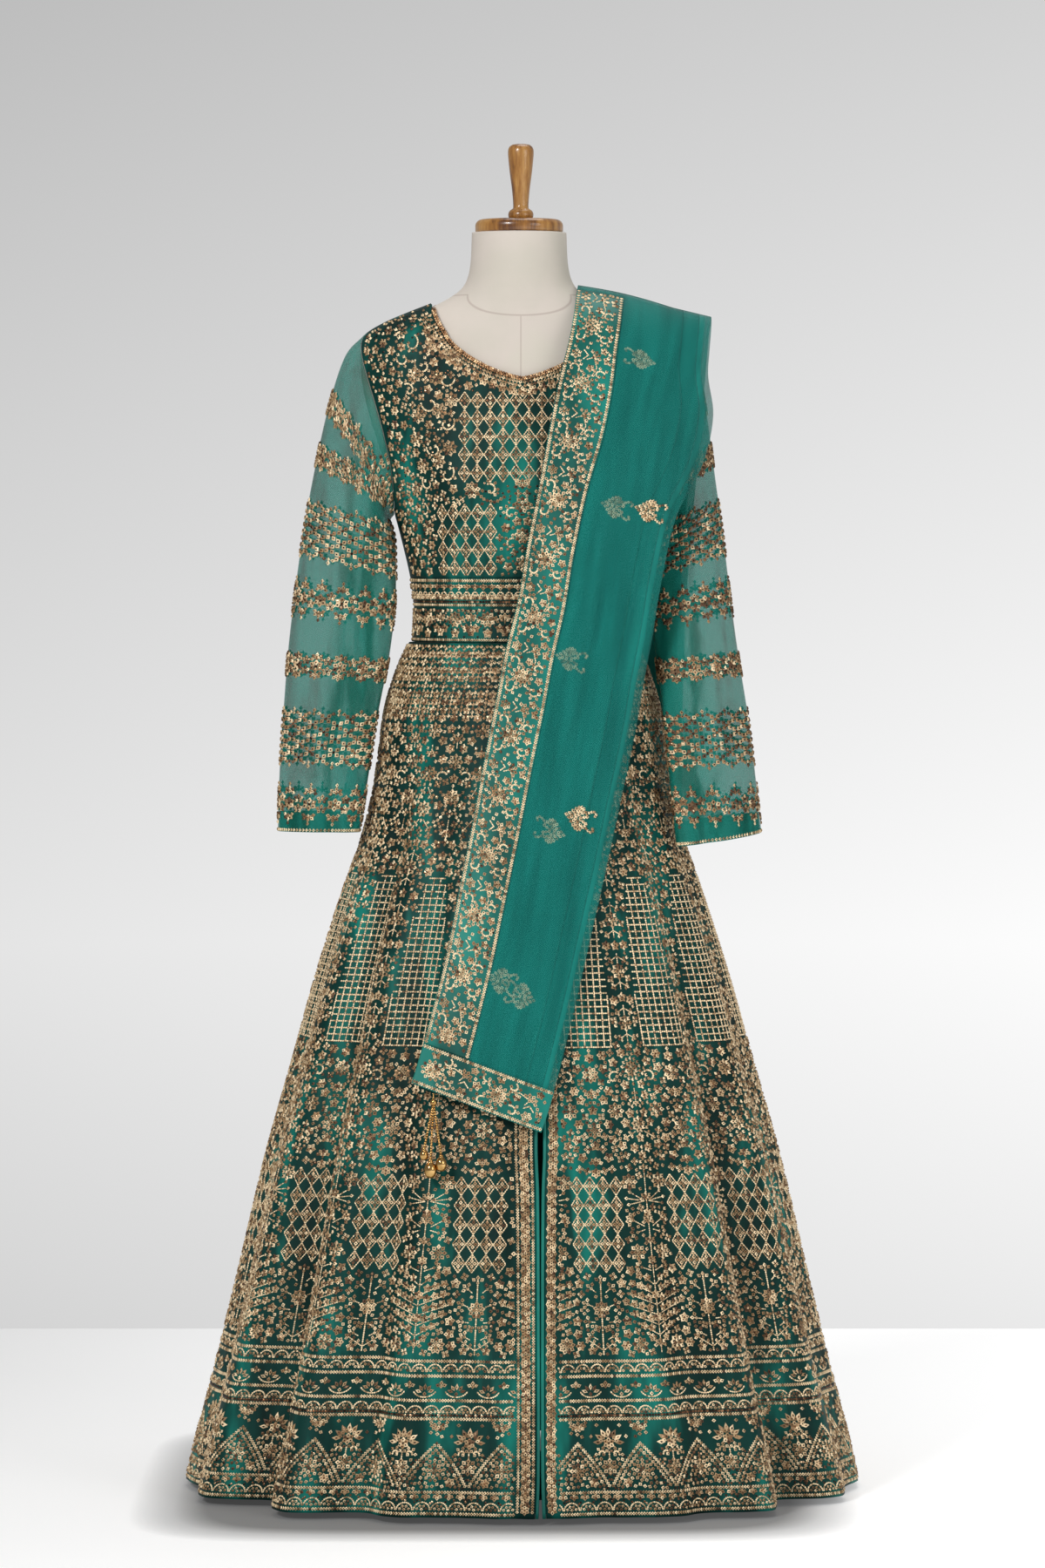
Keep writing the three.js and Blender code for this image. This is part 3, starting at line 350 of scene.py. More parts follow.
def net_material(name, alpha, fineness, *stops):
    """Net over satin, its colour painted with streaks of highlight and shade along the folds. Its threads are so
    dull that almost nothing of the sky shows in it.
    """
    material, tree, shader = new_material(name, rough=0.5, Specular_IOR_Level=0.12)
    folds = noise(tree, object_place(tree, FOLD_STRETCH), fineness)
    tree.links.new(ramp(tree, folds, *stops), shader.inputs["Base Color"])
    if alpha < 1:
        # it hides more where folds gather the net, and on the side that the fill attribute marks
        gathered = ramp(tree, folds, (0.5, (0, 0, 0)), (0.58, (1, 1, 1)))
        strength = times(tree, attribute(tree, "fill"), GATHER_HIDES)
        extra = times(tree, plus(tree, gathered, 0.5), strength)
        tree.links.new(plus(tree, extra, alpha), shader.inputs["Alpha"])
    cell = {"Vector": cloth_place(tree), "Scale": 8.0, "Randomness": 0.15}
    holes = add_node(tree, "ShaderNodeTexVoronoi", cell, voronoi_dimensions="2D").outputs[0]
    add_bump(tree, shader, holes, 0.3, 0.0004)
    return material


# painted shade in the folds, the net's own middle tone, and painted highlight where the satin under it would shine
NET_SHADE, NET_MIDDLE, NET_HIGHLIGHT = (0.001, 0.016, 0.013), (0.0015, 0.038, 0.031), (0.006, 0.19, 0.15)
net_stops = (0.34, NET_SHADE), (0.53, NET_MIDDLE), (0.72, NET_HIGHLIGHT)
net = net_material("embroidered_net", 1.0, FOLD_FINENESS, *net_stops)
# a sleeve's wall has two faces and a look through the sleeve meets two walls, so each face hides little
SHEER_ALPHA, SHEER_FINENESS = 0.4, 46.0
sheer_stops = (0.46, (0.012, 0.24, 0.19)), (0.6, (0.004, 0.13, 0.095))
sleeve_net = net_material("sheer_net", SHEER_ALPHA, SHEER_FINENESS, *sheer_stops)

# %% Sheer scarf cloth
SINGLE_SHOWS = 0.45


def scarf_material(name, alpha, deep, light):
    material, tree, shader = new_material(name, rough=0.55, Sheen_Weight=0.1, Specular_IOR_Level=0.1)
    # the fill attribute marks the outer edge, where only one sheer layer hangs
    hidden = math_node(tree, "SUBTRACT", 1.0, times(tree, attribute(tree, "fill"), SINGLE_SHOWS))
    tree.links.new(times(tree, hidden, alpha), shader.inputs["Alpha"])
    # painted highlight and painted shade, in long streaks down the scarf's layers
    streaks = noise(tree, cloth_place(tree, (1.0, 0.1, 1.0)), 0.55, 4.0, 0.55)
    tree.links.new(ramp(tree, streaks, (0.3, deep), (0.7, light)), shader.inputs["Base Color"])
    return material


scarf_under = scarf_material("scarf_layers", 1.0, (0.003, 0.11, 0.092), (0.008, 0.215, 0.18))
scarf_top = scarf_material("scarf_top_layer", 0.42, (0.005, 0.165, 0.14), (0.01, 0.26, 0.22))

# %% Thread, sequins and beads
def stitch_material(name, stops, rough, metal):
    material, tree, shader = new_material(name, rough=rough, metal=metal)
    tree.links.new(ramp(tree, attribute(tree, "tone"), *stops), shader.inputs["Base Color"])
    grain = noise(tree, object_place(tree), 1500.0, 1.0)
    add_bump(tree, shader, grain, 0.3, 0.0003)
    return material


def metal_material(name, fineness, stops, rough, metal):
    """Metal whose colour changes in patches of noise."""
    material, tree, shader = new_material(name, rough=rough, metal=metal)
    patches = noise(tree, object_place(tree), fineness)
    tree.links.new(ramp(tree, patches, *stops), shader.inputs["Base Color"])
    return material


thread = stitch_material("gold_thread", [(0.0, THREAD_DARK), (0.4, THREAD), (1.0, THREAD_LIGHT)], 0.5, 0.15)
sequin = stitch_material("copper_sequin", [(0.0, COPPER_DARK), (0.8, COPPER), (1.0, COPPER_GLINT)], 0.26, 0.8)
gold = metal_material("gilt_bell", 120.0, [(0.3, (0.4, 0.22, 0.065)), (0.7, (0.66, 0.43, 0.17))], 0.13, 1.0)
copper_stops = [(0.3, COPPER_DARK), (0.5, (0.5, 0.28, 0.14)), (0.7, THREAD_LIGHT)]
copper = metal_material("copper_bead", 260.0, copper_stops, 0.26, 0.8)

# %% Linen, varnished wood and blackened iron for the stand
linen, tree, shader = new_material("form_linen", rough=0.85, Specular_IOR_Level=0.2)
stain = noise(tree, object_place(tree), 9.0, 5.0)
stained = ramp(tree, stain, (0.3, (0.56, 0.52, 0.45)), (0.5, (0.61, 0.55, 0.49)), (0.7, (0.6, 0.56, 0.48)))
# two fine seams: one round the root of the neck, dipping towards the front, and one down the front from it
NECK_SEAM_Z, SEAM_DIP_Z, SEAM_X, SEAM_DARK = 1.438, 1.475, -0.002, 0.42
axes = add_node(tree, "ShaderNodeSeparateXYZ", {0: object_place(tree)})
neck_seam = math_node(tree, "MINIMUM", plus(tree, axes.outputs[1], SEAM_DIP_Z), NECK_SEAM_Z)
above_seam = math_node(tree, "SUBTRACT", axes.outputs[2], neck_seam)
from_middle = math_node(tree, "ABSOLUTE", plus(tree, axes.outputs[0], -SEAM_X))
behind = math_node(tree, "GREATER_THAN", axes.outputs[1], 0.0)
from_middle = plus(tree, from_middle, math_node(tree, "MAXIMUM", above_seam, behind))
nearest = math_node(tree, "MINIMUM", math_node(tree, "ABSOLUTE", above_seam), from_middle)
seam = ramp(tree, times(tree, nearest, 100.0), (0.03, (1, 1, 1)), (0.11, (0, 0, 0)))
grubby = blend_colors(tree, times(tree, seam, SEAM_DARK), stained, (0.3, 0.22, 0.19, 1))
tree.links.new(grubby, shader.inputs["Base Color"])
add_bump(tree, shader, seam, -0.5, 0.0006)

wood, tree, shader = new_material("varnished_wood", rough=0.3, Coat_Weight=0.3, Coat_Roughness=0.08)
fibres = noise(tree, object_place(tree, (1, 1, 0.12)), 160.0, 5.0, 0.65)
broad = noise(tree, object_place(tree, (1, 1, 0.3)), 26.0, 2.0)
FIBRE_SHARE = 0.55
figure = plus(tree, times(tree, fibres, FIBRE_SHARE), times(tree, broad, 1 - FIBRE_SHARE))
wood_stops = (0.38, (0.1, 0.032, 0.006)), (0.5, (0.3, 0.13, 0.026)), (0.62, (0.46, 0.24, 0.065))
tree.links.new(ramp(tree, figure, *wood_stops), shader.inputs["Base Color"])
add_bump(tree, shader, fibres, 0.08, 0.0003)

iron = metal_material("stand_iron", 30.0, [(0.3, (0.018,) * 3), (0.8, (0.045,) * 3)], 0.45, 0.8)
print("materials", len(bpy.data.materials))

# %% [markdown]
# The dress form is a stuffed shell of linen. Its face lies a little inside the gown, so it is built from the
# form's table like the gown itself. A seam runs round the root of the neck and another down the front, and both
# are drawn by its finish. The cap and the handle are turned, so each is one profile spun round its axis.

# %% The form's torso
FORM_INSET = 1.8
angle = np.linspace(-math.pi, math.pi, 145)[None, :]
height = np.r_[np.linspace(738, 1350, 50), np.linspace(1353, 1514, 80)][:, None]
inset = FORM_INSET * (1 - smoothstep(height, 1420, 1437))
points = form_point(angle, height)
points[..., 0] *= 1 - inset / curve(FORM, 1, height)
points[..., 1] *= 1 - inset / 90
form = cloth_piece("form_shell", points, linen, thick=1.5, closed=True)
bm = bmesh.new()
bm.from_mesh(form.data)
bmesh.ops.holes_fill(bm, edges=[e for e in bm.edges if e.is_boundary])
bmesh.ops.recalc_face_normals(bm, faces=bm.faces)
bm.to_mesh(form.data)
bm.free()
form.modifiers.clear()
stand_in("form_torso")
print("form", len(form.data.polygons), "faces")

# %% The turned cap and handle
def turned(name, profile, x, material, segments):
    """Spins a profile of (radius, height) in mm round a vertical axis."""
    bm = bmesh.new()
    line = [bm.verts.new(((x + r) * MM, 0, z * MM)) for r, z in profile]
    line += [bm.edges.new(pair) for pair in zip(line, line[1:])]
    once = {"axis": (0, 0, 1), "angle": 2 * math.pi, "steps": segments, "use_merge": True}
    bmesh.ops.spin(bm, geom=line, cent=(x * MM, 0, 0), **once)
    bmesh.ops.remove_doubles(bm, verts=bm.verts, dist=1e-6)
    bmesh.ops.recalc_face_normals(bm, faces=bm.faces)
    for face in bm.faces:
        face.smooth = True
    thing = new_object(name, mesh_from(bm, name), material)
    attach(thing, "root")
    return thing


low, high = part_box("form_cap")
cap_x, cap_z = (low[0] + high[0]) / 2 / MM, low[2] / MM
CAP_R, CAP_THICK, CAP_SOFT, CAP_BEVEL = 53, 15.5, 8, 1.5
soft_r, soft_z = CAP_R - CAP_SOFT, cap_z + CAP_THICK - CAP_SOFT
soft = [math.radians(a) for a in range(0, 91, 10)]
rim = [(soft_r + CAP_SOFT * math.cos(a), soft_z + CAP_SOFT * math.sin(a)) for a in soft]
profile = [(0, cap_z), (CAP_R - CAP_BEVEL, cap_z), (CAP_R, cap_z + CAP_BEVEL), *rim, (0, cap_z + CAP_THICK)]
cap = turned("wood_cap", profile, cap_x, wood, 96)
stand_in("form_cap")
# height, radius
HANDLE = [
    (0, 12.5), (2.2, 14.6), (6, 15.2), (10, 13.6), (12.4, 10.4), (13.4, 9.3), (22, 9.5), (38, 11), (56, 13.4),
    (74, 15.2), (82, 15.5), (87, 13.9), (89.6, 10.4),
]
low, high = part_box("form_handle")
foot = low[2] / MM
rise = np.r_[0, 0.8, 1.6, 2.4, np.linspace(3.5, 13.4, 12), np.linspace(17, 82, 16), 84.5, 87, 88.5, 89.6]
profile = [(0, foot), *zip(curve(HANDLE, 1, rise), foot + rise), (6, foot + 90.3), (0, foot + 90.6)]
handle = turned("wood_handle", profile, (low[0] + high[0]) / 2 / MM, wood, 48)
stand_in("form_handle")
for name in ("stand_base", "stand_pole"):
    bpy.data.objects[name].data.materials.clear()
    bpy.data.objects[name].data.materials.append(iron)
print("turned", len(cap.data.polygons), len(handle.data.polygons))

# %% [markdown]
# The bodice follows the form with a few millimetres of ease. Its columns fan from the waist up to the neckline and
# the shoulder seam, and its rows are bent so that the outermost one runs round the armhole. Two panels meet at the
# sides and on the shoulders, and the waistband is a straight band below them.

# %% The bodice and the waistband
tip_x = float(curve(FORM, 1, SHOULDER_TIP_Z))
armhole_mid, armhole_half = (ARMPIT_Z + SHOULDER_TIP_Z) / 2, (SHOULDER_TIP_Z - ARMPIT_Z) / 2
bodice_foot = WAISTBAND_TOP_Z + SEAM_GAP
shoulder_line = np.linspace(SHOULDER_TIP_Z, 1450, 400)
neck_share = math.sin(math.radians(NECK_POINT_DEG))
# where each column stands at the waist and at the top, in degrees from the middle
SHOULDER_COLUMNS = [(49, NECK_POINT_DEG), (59, 48), (69, 62), (80, 76), (90, 90)]
FRONT_COLUMNS = [(0, 0), (8, 9), (16, 18), (24, 26), (31, 31), (37, 33.8), (43, 34.45), *SHOULDER_COLUMNS]
BACK_COLUMNS = [(0, 0), (12, 15), (24, 27), (34, 33), (42, 34.4), *SHOULDER_COLUMNS]


def bodice_edge(z):
    """Half the bodice's width: to the side seam, then the armhole's edge."""
    along = np.clip((z - armhole_mid) / armhole_half, -1, 1)
    bite = np.where(z > ARMPIT_Z, ARMHOLE_BULGE * np.sqrt(1 - along**2), 0)
    return np.where(z >= SHOULDER_TIP_Z, tip_x, curve(FORM, 1, z) * np.cos(bite))


def shoulder_z(share):
    return np.interp(-share * tip_x, -curve(FORM, 1, shoulder_line), shoulder_line)


def bodice_top(share, neck_z):
    """Where a column of the bodice ends: on the shoulder seam, or on the neckline."""
    f = np.clip(share / neck_share, 0, 1)
    scoop = 0.8 * (1 - np.sqrt(1 - f**2)) + 0.2 * f
    neck = neck_z + (shoulder_z(neck_share) - neck_z) * scoop
    return np.where(share >= neck_share - 1e-6, shoulder_z(share), neck)


def parted(front):
    """The small shift that keeps the front panels and the back ones from touching."""
    return (0, -SEAM_GAP / 2 if front else SEAM_GAP / 2, 0)


def bodice_grid(columns, front, rows=90, fine=8):
    table = np.radians(np.array(columns, float))
    at = np.linspace(0, len(columns) - 1, (len(columns) - 1) * fine + 1)
    foot, top = (np.sin(np.interp(at, range(len(columns)), table[:, k])) for k in (0, 1))
    foot, top = np.r_[-foot[:0:-1], foot], np.r_[-top[:0:-1], top]
    rise = np.linspace(0, 1, rows)[:, None]
    z = bodice_foot + rise * (bodice_top(abs(top), FRONT_NECK_Z if front else BACK_NECK_Z) - bodice_foot)
    share = foot + (top - foot) * smoothstep(rise, 0, 0.8)
    turn = np.arcsin(np.clip(share * bodice_edge(z) / curve(FORM, 1, z), -1, 1))
    return off_form(turn if front else math.pi - turn, z) + parted(front)


band_z = np.linspace(WAIST_SEAM_Z, WAISTBAND_TOP_Z, 24)[:, None]
half_turn = np.linspace(-math.pi / 2, math.pi / 2, 97)[None, :]
grids = {
    "bodice_front": bodice_grid(FRONT_COLUMNS, True),
    "bodice_back": bodice_grid(BACK_COLUMNS, False),
    "waistband_front": off_form(half_turn, band_z) + parted(True),
    "waistband_back": off_form(half_turn + math.pi, band_z) + parted(False),
}
for name, grid in grids.items():
    piece = cloth_piece(f"{name}_cloth", grid, net)
    stand_in(name)

# %% [markdown]
# The skirt is cut in four panels that flare from the waist into flutes. Inside it hangs a plain satin lining,
# split at the slit like the skirt, and a narrow roll of satin binds each side of the slit. Fine wrinkles are
# added to the flutes here, where they cost nothing and catch the light.

# %% The skirt's panels
SKIRT_COLUMNS, SKIRT_ROWS = 150, 130


def slit_half(z):
    return curve(SLIT_OPENING, 1, z)


def slit_angle(z, offset):
    return np.arcsin((SLIT_X + offset) / curve(SKIRT, 1, z))


def seam_angle(z, degrees, sign):
    return math.radians(degrees) + sign * SEAM_GAP / 2 / curve(SKIRT, 1, z)


def skirt_fine(angle, z):
    """The skirt's face with small ripples that run down between the flutes."""
    flat = skirt_point(angle, z)
    ripple = np.sin(angle * 46 + 1.3 * np.sin(angle * 9)) * 0.9 + np.sin(angle * 71 + z / 210) * 0.6
    keep = 1 + ripple * fluting(z) / np.hypot(flat[..., 0], flat[..., 1])
    return flat * np.stack([keep, keep, np.ones_like(keep)], -1)


skirt_z = np.linspace(HEM_Z, WAIST_SEAM_Z - SEAM_GAP, SKIRT_ROWS)[:, None]
share = np.linspace(0, 1, SKIRT_COLUMNS)[None, :]
panel_edge = slit_half(skirt_z) + EDGING_WIDE + SEAM_GAP
panel_sides = {
    "skirt_front_right": (seam_angle(skirt_z, -90, 1), slit_angle(skirt_z, -panel_edge)),
    "skirt_front_left": (slit_angle(skirt_z, panel_edge), seam_angle(skirt_z, 90, -1)),
    "skirt_back_left": (seam_angle(skirt_z, 90, 1), seam_angle(skirt_z, 180, -1)),
    "skirt_back_right": (seam_angle(skirt_z, 180, 1), seam_angle(skirt_z, 270, -1)),
}
for name, (start, end) in panel_sides.items():
    grid = skirt_fine(start + (end - start) * share, skirt_z)
    piece = cloth_piece(f"{name}_cloth", grid, net)
    stand_in(name)

# %% The lining and the slit's satin edges
# how far inside the skirt the lining hangs, as a share of the radius: at the waist, then at the hem
LINING_WAIST, LINING_FRONT, LINING_SIDE = 0.036, 0.05, 0.095
LINING_FROM_SLIT = 3
lining_z = np.linspace(HEM_Z + 3, 965, 50)[:, None]


def lining_inset(angle, z):
    hem = LINING_FRONT + (LINING_SIDE - LINING_FRONT) * abs(np.sin(angle)) ** 3
    return LINING_WAIST + (hem - LINING_WAIST) * smoothstep(WAIST_SEAM_Z - z, 0, 700)


lining_edge = slit_half(lining_z) + LINING_FROM_SLIT
lining_sides = {
    "lining_right": (seam_angle(lining_z, -180, 1), slit_angle(lining_z, -lining_edge)),
    "lining_left": (slit_angle(lining_z, lining_edge), seam_angle(lining_z, 180, -1)),
}
for name, (start, end) in lining_sides.items():
    turn = start + (end - start) * np.linspace(0, 1, 240)[None, :]
    grid = skirt_point(turn, lining_z, lining_inset(turn, lining_z))
    piece = cloth_piece(f"{name}_cloth", grid, satin, thick=1.0)
    stand_in(name)
for name, side in (("slit_edge_left", 1), ("slit_edge_right", -1)):
    across = np.linspace(0, EDGING_WIDE, 11)[None, :]
    offset = side * slit_half(skirt_z) + (across if side > 0 else across - EDGING_WIDE)
    inset = EDGING_INSET / curve(SKIRT, 2, skirt_z)
    grid = skirt_point(slit_angle(skirt_z, offset), skirt_z, inset)
    crown = np.sin(math.pi * across / EDGING_WIDE) * EDGING_CROWN
    grid = grid + crown[..., None] * (0, -1, 0)
    # the rolls take the lighter satin, a painted highlight along the slit's edges
    piece = cloth_piece(f"{name}_roll", grid, border_satin, thick=1.6)
    stand_in(name)

# %% [markdown]
# The sleeves are one layer of sheer net, so the air behind them shows through. Each is lofted through rings that
# run from the armhole to the wrist, with a few long creases on the side that faces the body.

# %% The sleeves
# outer edge x, z, y, inner edge x, z, y, half thickness
SLEEVES = {
    "right": [
        (215, 1364, 0, 160, 1167, 0, 46), (236, 1298, -3, 157, 1158, -5, 44),
        (253, 1219, -6, 154, 1146, -10, 40), (265, 1152, -10, 153, 1130, -16, 36),
        (275, 1080, -14, 153, 1074, -22, 32), (283, 1010, -17, 160, 1008, -30, 29),
        (289, 930, -20, 175, 930, -40, 27), (293, 865, -22, 185, 865, -48, 25),
        (295, 793, -24, 196, 793, -56, 23),
    ],
    "left": [
        (209, 1362, 0, 160, 1167, 0, 44), (222, 1298, -3, 157, 1158, -5, 43),
        (233, 1216, -8, 154, 1146, -12, 40), (242, 1150, -14, 152, 1130, -22, 36),
        (250, 1080, -20, 153, 1074, -34, 32), (259, 1010, -26, 160, 1008, -52, 29),
        (271, 930, -32, 170, 928, -74, 27), (279, 862, -38, 177, 858, -92, 25),
        (286, 793, -46, 185, 779, -112, 23),
    ],
}
# degrees round the sleeve, width, depth
CREASES = [(118, 15, 6), (158, 13, 5), (232, 16, 5)]
SLEEVE_ROWS, SLEEVE_COLUMNS = 110, 97
CUFF_ROWS, CUFF_INSET = 5, 0.035


def sleeve_grid(name):
    side = -1 if name == "right" else 1
    phi = -side * np.linspace(0, 2 * math.pi, SLEEVE_COLUMNS)
    seam = SEAM_GAP * 1.5
    quarter = math.pi / 2 - (ARMHOLE_BULGE - seam / 150) * np.sin(phi)
    armhole = off_form(quarter, armhole_mid + (armhole_half - seam) * np.cos(phi))
    armhole[:, 0] = side * (armhole[:, 0] + seam)
    rings = [armhole]
    for j, (ox, oz, oy, ix, iz, iy, half) in enumerate(SLEEVES[name]):
        outer, inner = np.array([ox, oy, oz], float), np.array([ix, iy, iz], float)
        middle, reach = (outer + inner) / 2, (outer - inner) / 2
        across = np.array([reach[1], -reach[0], 0]) / math.hypot(reach[0], reach[1])
        degrees = np.degrees(phi) % 360
        creased = sum(deep * np.exp(-(((degrees - at) / wide) ** 2)) for at, wide, deep in CREASES)
        hollow = half - creased * float(smoothstep(j, 2, 6))
        ring = middle + reach * np.cos(phi)[:, None] + across * (hollow * np.sin(phi))[:, None]
        rings.append(ring * (side, 1, 1))
    rings = np.array(rings)
    at = np.linspace(0, len(rings) - 1, SLEEVE_ROWS)
    table = np.concatenate([np.arange(len(rings))[:, None], rings.reshape(len(rings), -1)], 1)
    fine = np.stack([curve([(r[0], r[c]) for r in table], 1, at) for c in range(1, table.shape[1])], -1)
    return fine.reshape(SLEEVE_ROWS, SLEEVE_COLUMNS, 3)[::-1]


sleeve_grids = {name: sleeve_grid(name) for name in SLEEVES}
# the side towards the body is gathered, so it hides more
towards_body = -np.cos(np.linspace(0, 2 * math.pi, SLEEVE_COLUMNS))
gathered = np.tile(smoothstep(towards_body, -0.35, 0.35), (SLEEVE_ROWS, 1))
for name, grid in sleeve_grids.items():
    ring_middle = grid.mean(1, keepdims=True)
    tube = {"closed": True, "inside": ring_middle}
    piece = cloth_piece(f"sleeve_{name}_cloth", grid, sleeve_net, thick=0.6, fill=gathered, **tube)
    stand_in(f"sleeve_{name}")
    wrist, tube["inside"] = grid[:CUFF_ROWS], ring_middle[:CUFF_ROWS]
    wrist = wrist + (tube["inside"] - wrist) * CUFF_INSET
    cuff = cloth_piece(f"cuff_{name}_band", wrist, satin, thick=0.8, **tube)
    stand_in(f"cuff_{name}")

# %% [markdown]
# The scarf is folded lengthwise into a pile of sheer layers, with its broad border on top. It crosses the
# shoulder and falls before and behind, resting on the bodice and the skirt. Each fold is its own layer here, a
# little narrower than the one below it, so their edges show as they do in real organza.

# %% The scarf's falls
# share of the way down, x of the neck edge, x of the outer edge, how far it stands out
SCARF_FRONT = [
    (0, 67, 228, 4), (0.006, 66, 228, 30), (0.02, 64, 227, 54), (0.042, 61, 225, 76),
    (0.075, 55, 223, 96), (0.125, 43, 229, 116), (0.185, 32, 216, 136), (0.25, 21, 184, 147),
    (0.33, 6, 166, 140), (0.4, -5, 155, 134), (0.46, -19, 144, 138), (0.52, -30, 134, 149),
    (0.6, -45, 117, 168), (0.68, -59, 100, 188), (0.76, -74, 82, 208), (0.84, -89, 64, 229),
    (0.92, -108, 45, 247), (0.951, -116, 37, 253), (0.976, -123, 30, 257), (1, -130, 22, 262),
]
SCARF_BACK = [
    (0, 67, 228, 4), (0.006, 66, 228, 42), (0.02, 65, 226, 71), (0.045, 64, 224, 92),
    (0.09, 62, 220, 108), (0.16, 60, 214, 118), (0.24, 58, 206, 122), (0.32, 57, 200, 122),
    (0.4, 56, 197, 132), (0.46, 56, 196, 152), (0.54, 57, 196, 176), (0.64, 58, 197, 206),
    (0.76, 60, 199, 240), (0.88, 62, 201, 269), (0.957, 63, 203, 287), (1, 64, 204, 296),
]
SCARF_CREST_LEFT, SCARF_CREST_RIGHT, SCARF_BOW = 1451, 1413, 3
SCARF_FEET = {"front": (509, 452), "back": (330, 330)}
REACH_SHOULDER, REACH_FOOT, SCARF_CLEAR, PILE = 250, 430, 3, 3.2


def body_depth(x, z, facing):
    """How far the dressed body stands out from the middle plane."""
    side = curve(FORM, 1, np.clip(z, WAIST_SEAM_Z, 1472)) + EASE + CLOTH
    lean = (x - curve(FORM, 4, z)) / side
    quarter = np.arcsin(np.clip(lean, -1, 1))
    torso = facing * form_point(quarter if facing < 0 else math.pi - quarter, z)[..., 1] + EASE + CLOTH
    torso = np.where(abs(lean) < 1, torso, 0)
    p, reach, deep = (curve(SKIRT, k, z) for k in (4, 1, 2 if facing < 0 else 3))
    skirt = deep * np.maximum(1 - abs(x / reach) ** p, 0) ** (1 / p)
    return np.where(z > WAIST_SEAM_Z, torso, skirt)


def scarf_point(across, down, fall):
    """The scarf's outer face: across is from its neck edge, down is from the shoulder."""
    across, down = np.broadcast_arrays(np.asarray(across, float), np.asarray(down, float))
    table, facing = (SCARF_FRONT, -1) if fall == "front" else (SCARF_BACK, 1)
    left, right, out = (curve(table, k, down) for k in (1, 2, 3))
    x = left + (right - left) * across
    bow = SCARF_BOW * np.sin(math.pi * np.clip(across * 1.4, 0, 1))
    crest = SCARF_CREST_LEFT + (SCARF_CREST_RIGHT - SCARF_CREST_LEFT) * across + bow
    foot_left, foot_right = SCARF_FEET[fall]
    z = crest + (foot_left + (foot_right - foot_left) * across - crest) * down
    reach = REACH_SHOULDER + (REACH_FOOT - REACH_SHOULDER) * smoothstep(950 - z, 0, 600)
    hung = out * np.sqrt(1 - (x / reach) ** 2)
    rests = body_depth(x, z, facing) + SCARF_CLEAR + PILE
    depth = np.where(down > 0.003, np.maximum(hung, rests), hung) + SEAM_GAP
    return np.stack([x, facing * depth, z], -1)


def scarf_layer(fall, end, behind, waves):
    """A layer from the neck edge as far across as end says, with its rows closest at the shoulder."""
    down = np.linspace(1, 0, 130)[:, None] ** 1.15
    across = np.linspace(0, end, 46)[None, :]
    grid = scarf_point(across, down, fall)
    facing = -1 if fall == "front" else 1
    ripple = np.sin(across * 17 + 2 * down) * 0.6 + np.sin(across * 31 - 5 * down + 1) * 0.4
    grid[..., 1] -= facing * (behind - waves * ripple * smoothstep(down, 0.03, 0.3))
    return grid


# layer, how far across it reaches, how far behind the face it lies, height of its waves
SCARF_LAYERS = [("under", 1.0, 2.2, 0.5), ("middle", 0.91, 1.4, 0.8), ("top", 0.79, 0.7, 0.9)]
SINGLE_FROM, SINGLE_FULL = 0.93, 0.945
for fall in SCARF_FEET:
    for layer, end, behind, waves in SCARF_LAYERS:
        grid = scarf_layer(fall, end, behind, waves)
        cloth = scarf_under if layer == "under" else scarf_top
        across = np.linspace(0, end, grid.shape[1])
        single = np.tile(smoothstep(across, SINGLE_FROM, SINGLE_FULL), (len(grid), 1))
        piece = cloth_piece(f"scarf_{fall}_{layer}", grid, cloth, thick=0.4, fill=single)
        stand_in(f"scarf_{fall}")

# %% [markdown]
# The embroidery is tens of thousands of stitches, but only four kinds: a loop of cord round a sequin, a short
# cord stitch, a loose sequin and an open chain link. Each kind is modelled once with bmesh operators, as a shape
# of one unit, and copied onto the cloth in one array. A particle system or geometry nodes could copy them too,
# but an array lets each stitch follow a drawn pattern, and the result is a plain mesh.

# %% The four stitches
PETAL, STITCH, SEQUIN, LINK = range(4)


def stitch_shape(sides, wall=None, dish=None, open_middle=False):
    """A low shape of radius 1 and height 1: its rim slopes up over wall, and its middle may sink by dish."""
    bm = bmesh.new()
    bmesh.ops.create_circle(bm, segments=sides, radius=1, cap_ends=True)
    middle = list(bm.faces)
    if wall:
        bmesh.ops.inset_individual(bm, faces=middle, thickness=wall, depth=1, use_even_offset=True)
    if open_middle:
        bmesh.ops.delete(bm, geom=middle, context="FACES_ONLY")
    elif dish is not None:
        bmesh.ops.poke(bm, faces=middle, offset=dish)
    bmesh.ops.triangulate(bm, faces=bm.faces)
    bmesh.ops.recalc_face_normals(bm, faces=bm.faces)
    if sum(f.normal.z for f in bm.faces) < 0:
        bmesh.ops.reverse_faces(bm, faces=bm.faces)
    bm.verts.ensure_lookup_table()
    corners = np.array([v.co for v in bm.verts])
    faces = np.array([[v.index for v in f.verts] for f in bm.faces])
    high = corners[:, 2] > 0.5
    inner = (~high & (np.hypot(corners[:, 0], corners[:, 1]) < 0.3))[faces].any(1)
    bm.free()
    return corners, faces, inner.astype(np.int32)


SHAPES = {
    PETAL: stitch_shape(4, wall=0.41, dish=-0.75),
    STITCH: stitch_shape(4, dish=1.0),
    SEQUIN: stitch_shape(5, dish=0.6),
    LINK: stitch_shape(4, wall=0.42, open_middle=True),
}
HEIGHTS = {PETAL: 1.8, STITCH: 1.4, SEQUIN: 1.0, LINK: 1.1}
# plain cord is paler than the loops
PALER = {PETAL: 0.0, STITCH: 0.3, SEQUIN: 0.0, LINK: 0.2}
# how much the threads vary, and the power that keeps most sequins dark
TONE_SPREAD, DARK_DISHES = 0.3, 2.2
for kind, (corners, faces, inner) in SHAPES.items():
    print("stitch", kind, len(corners), "points", len(faces), "faces", int(inner.sum()), "of sequin")

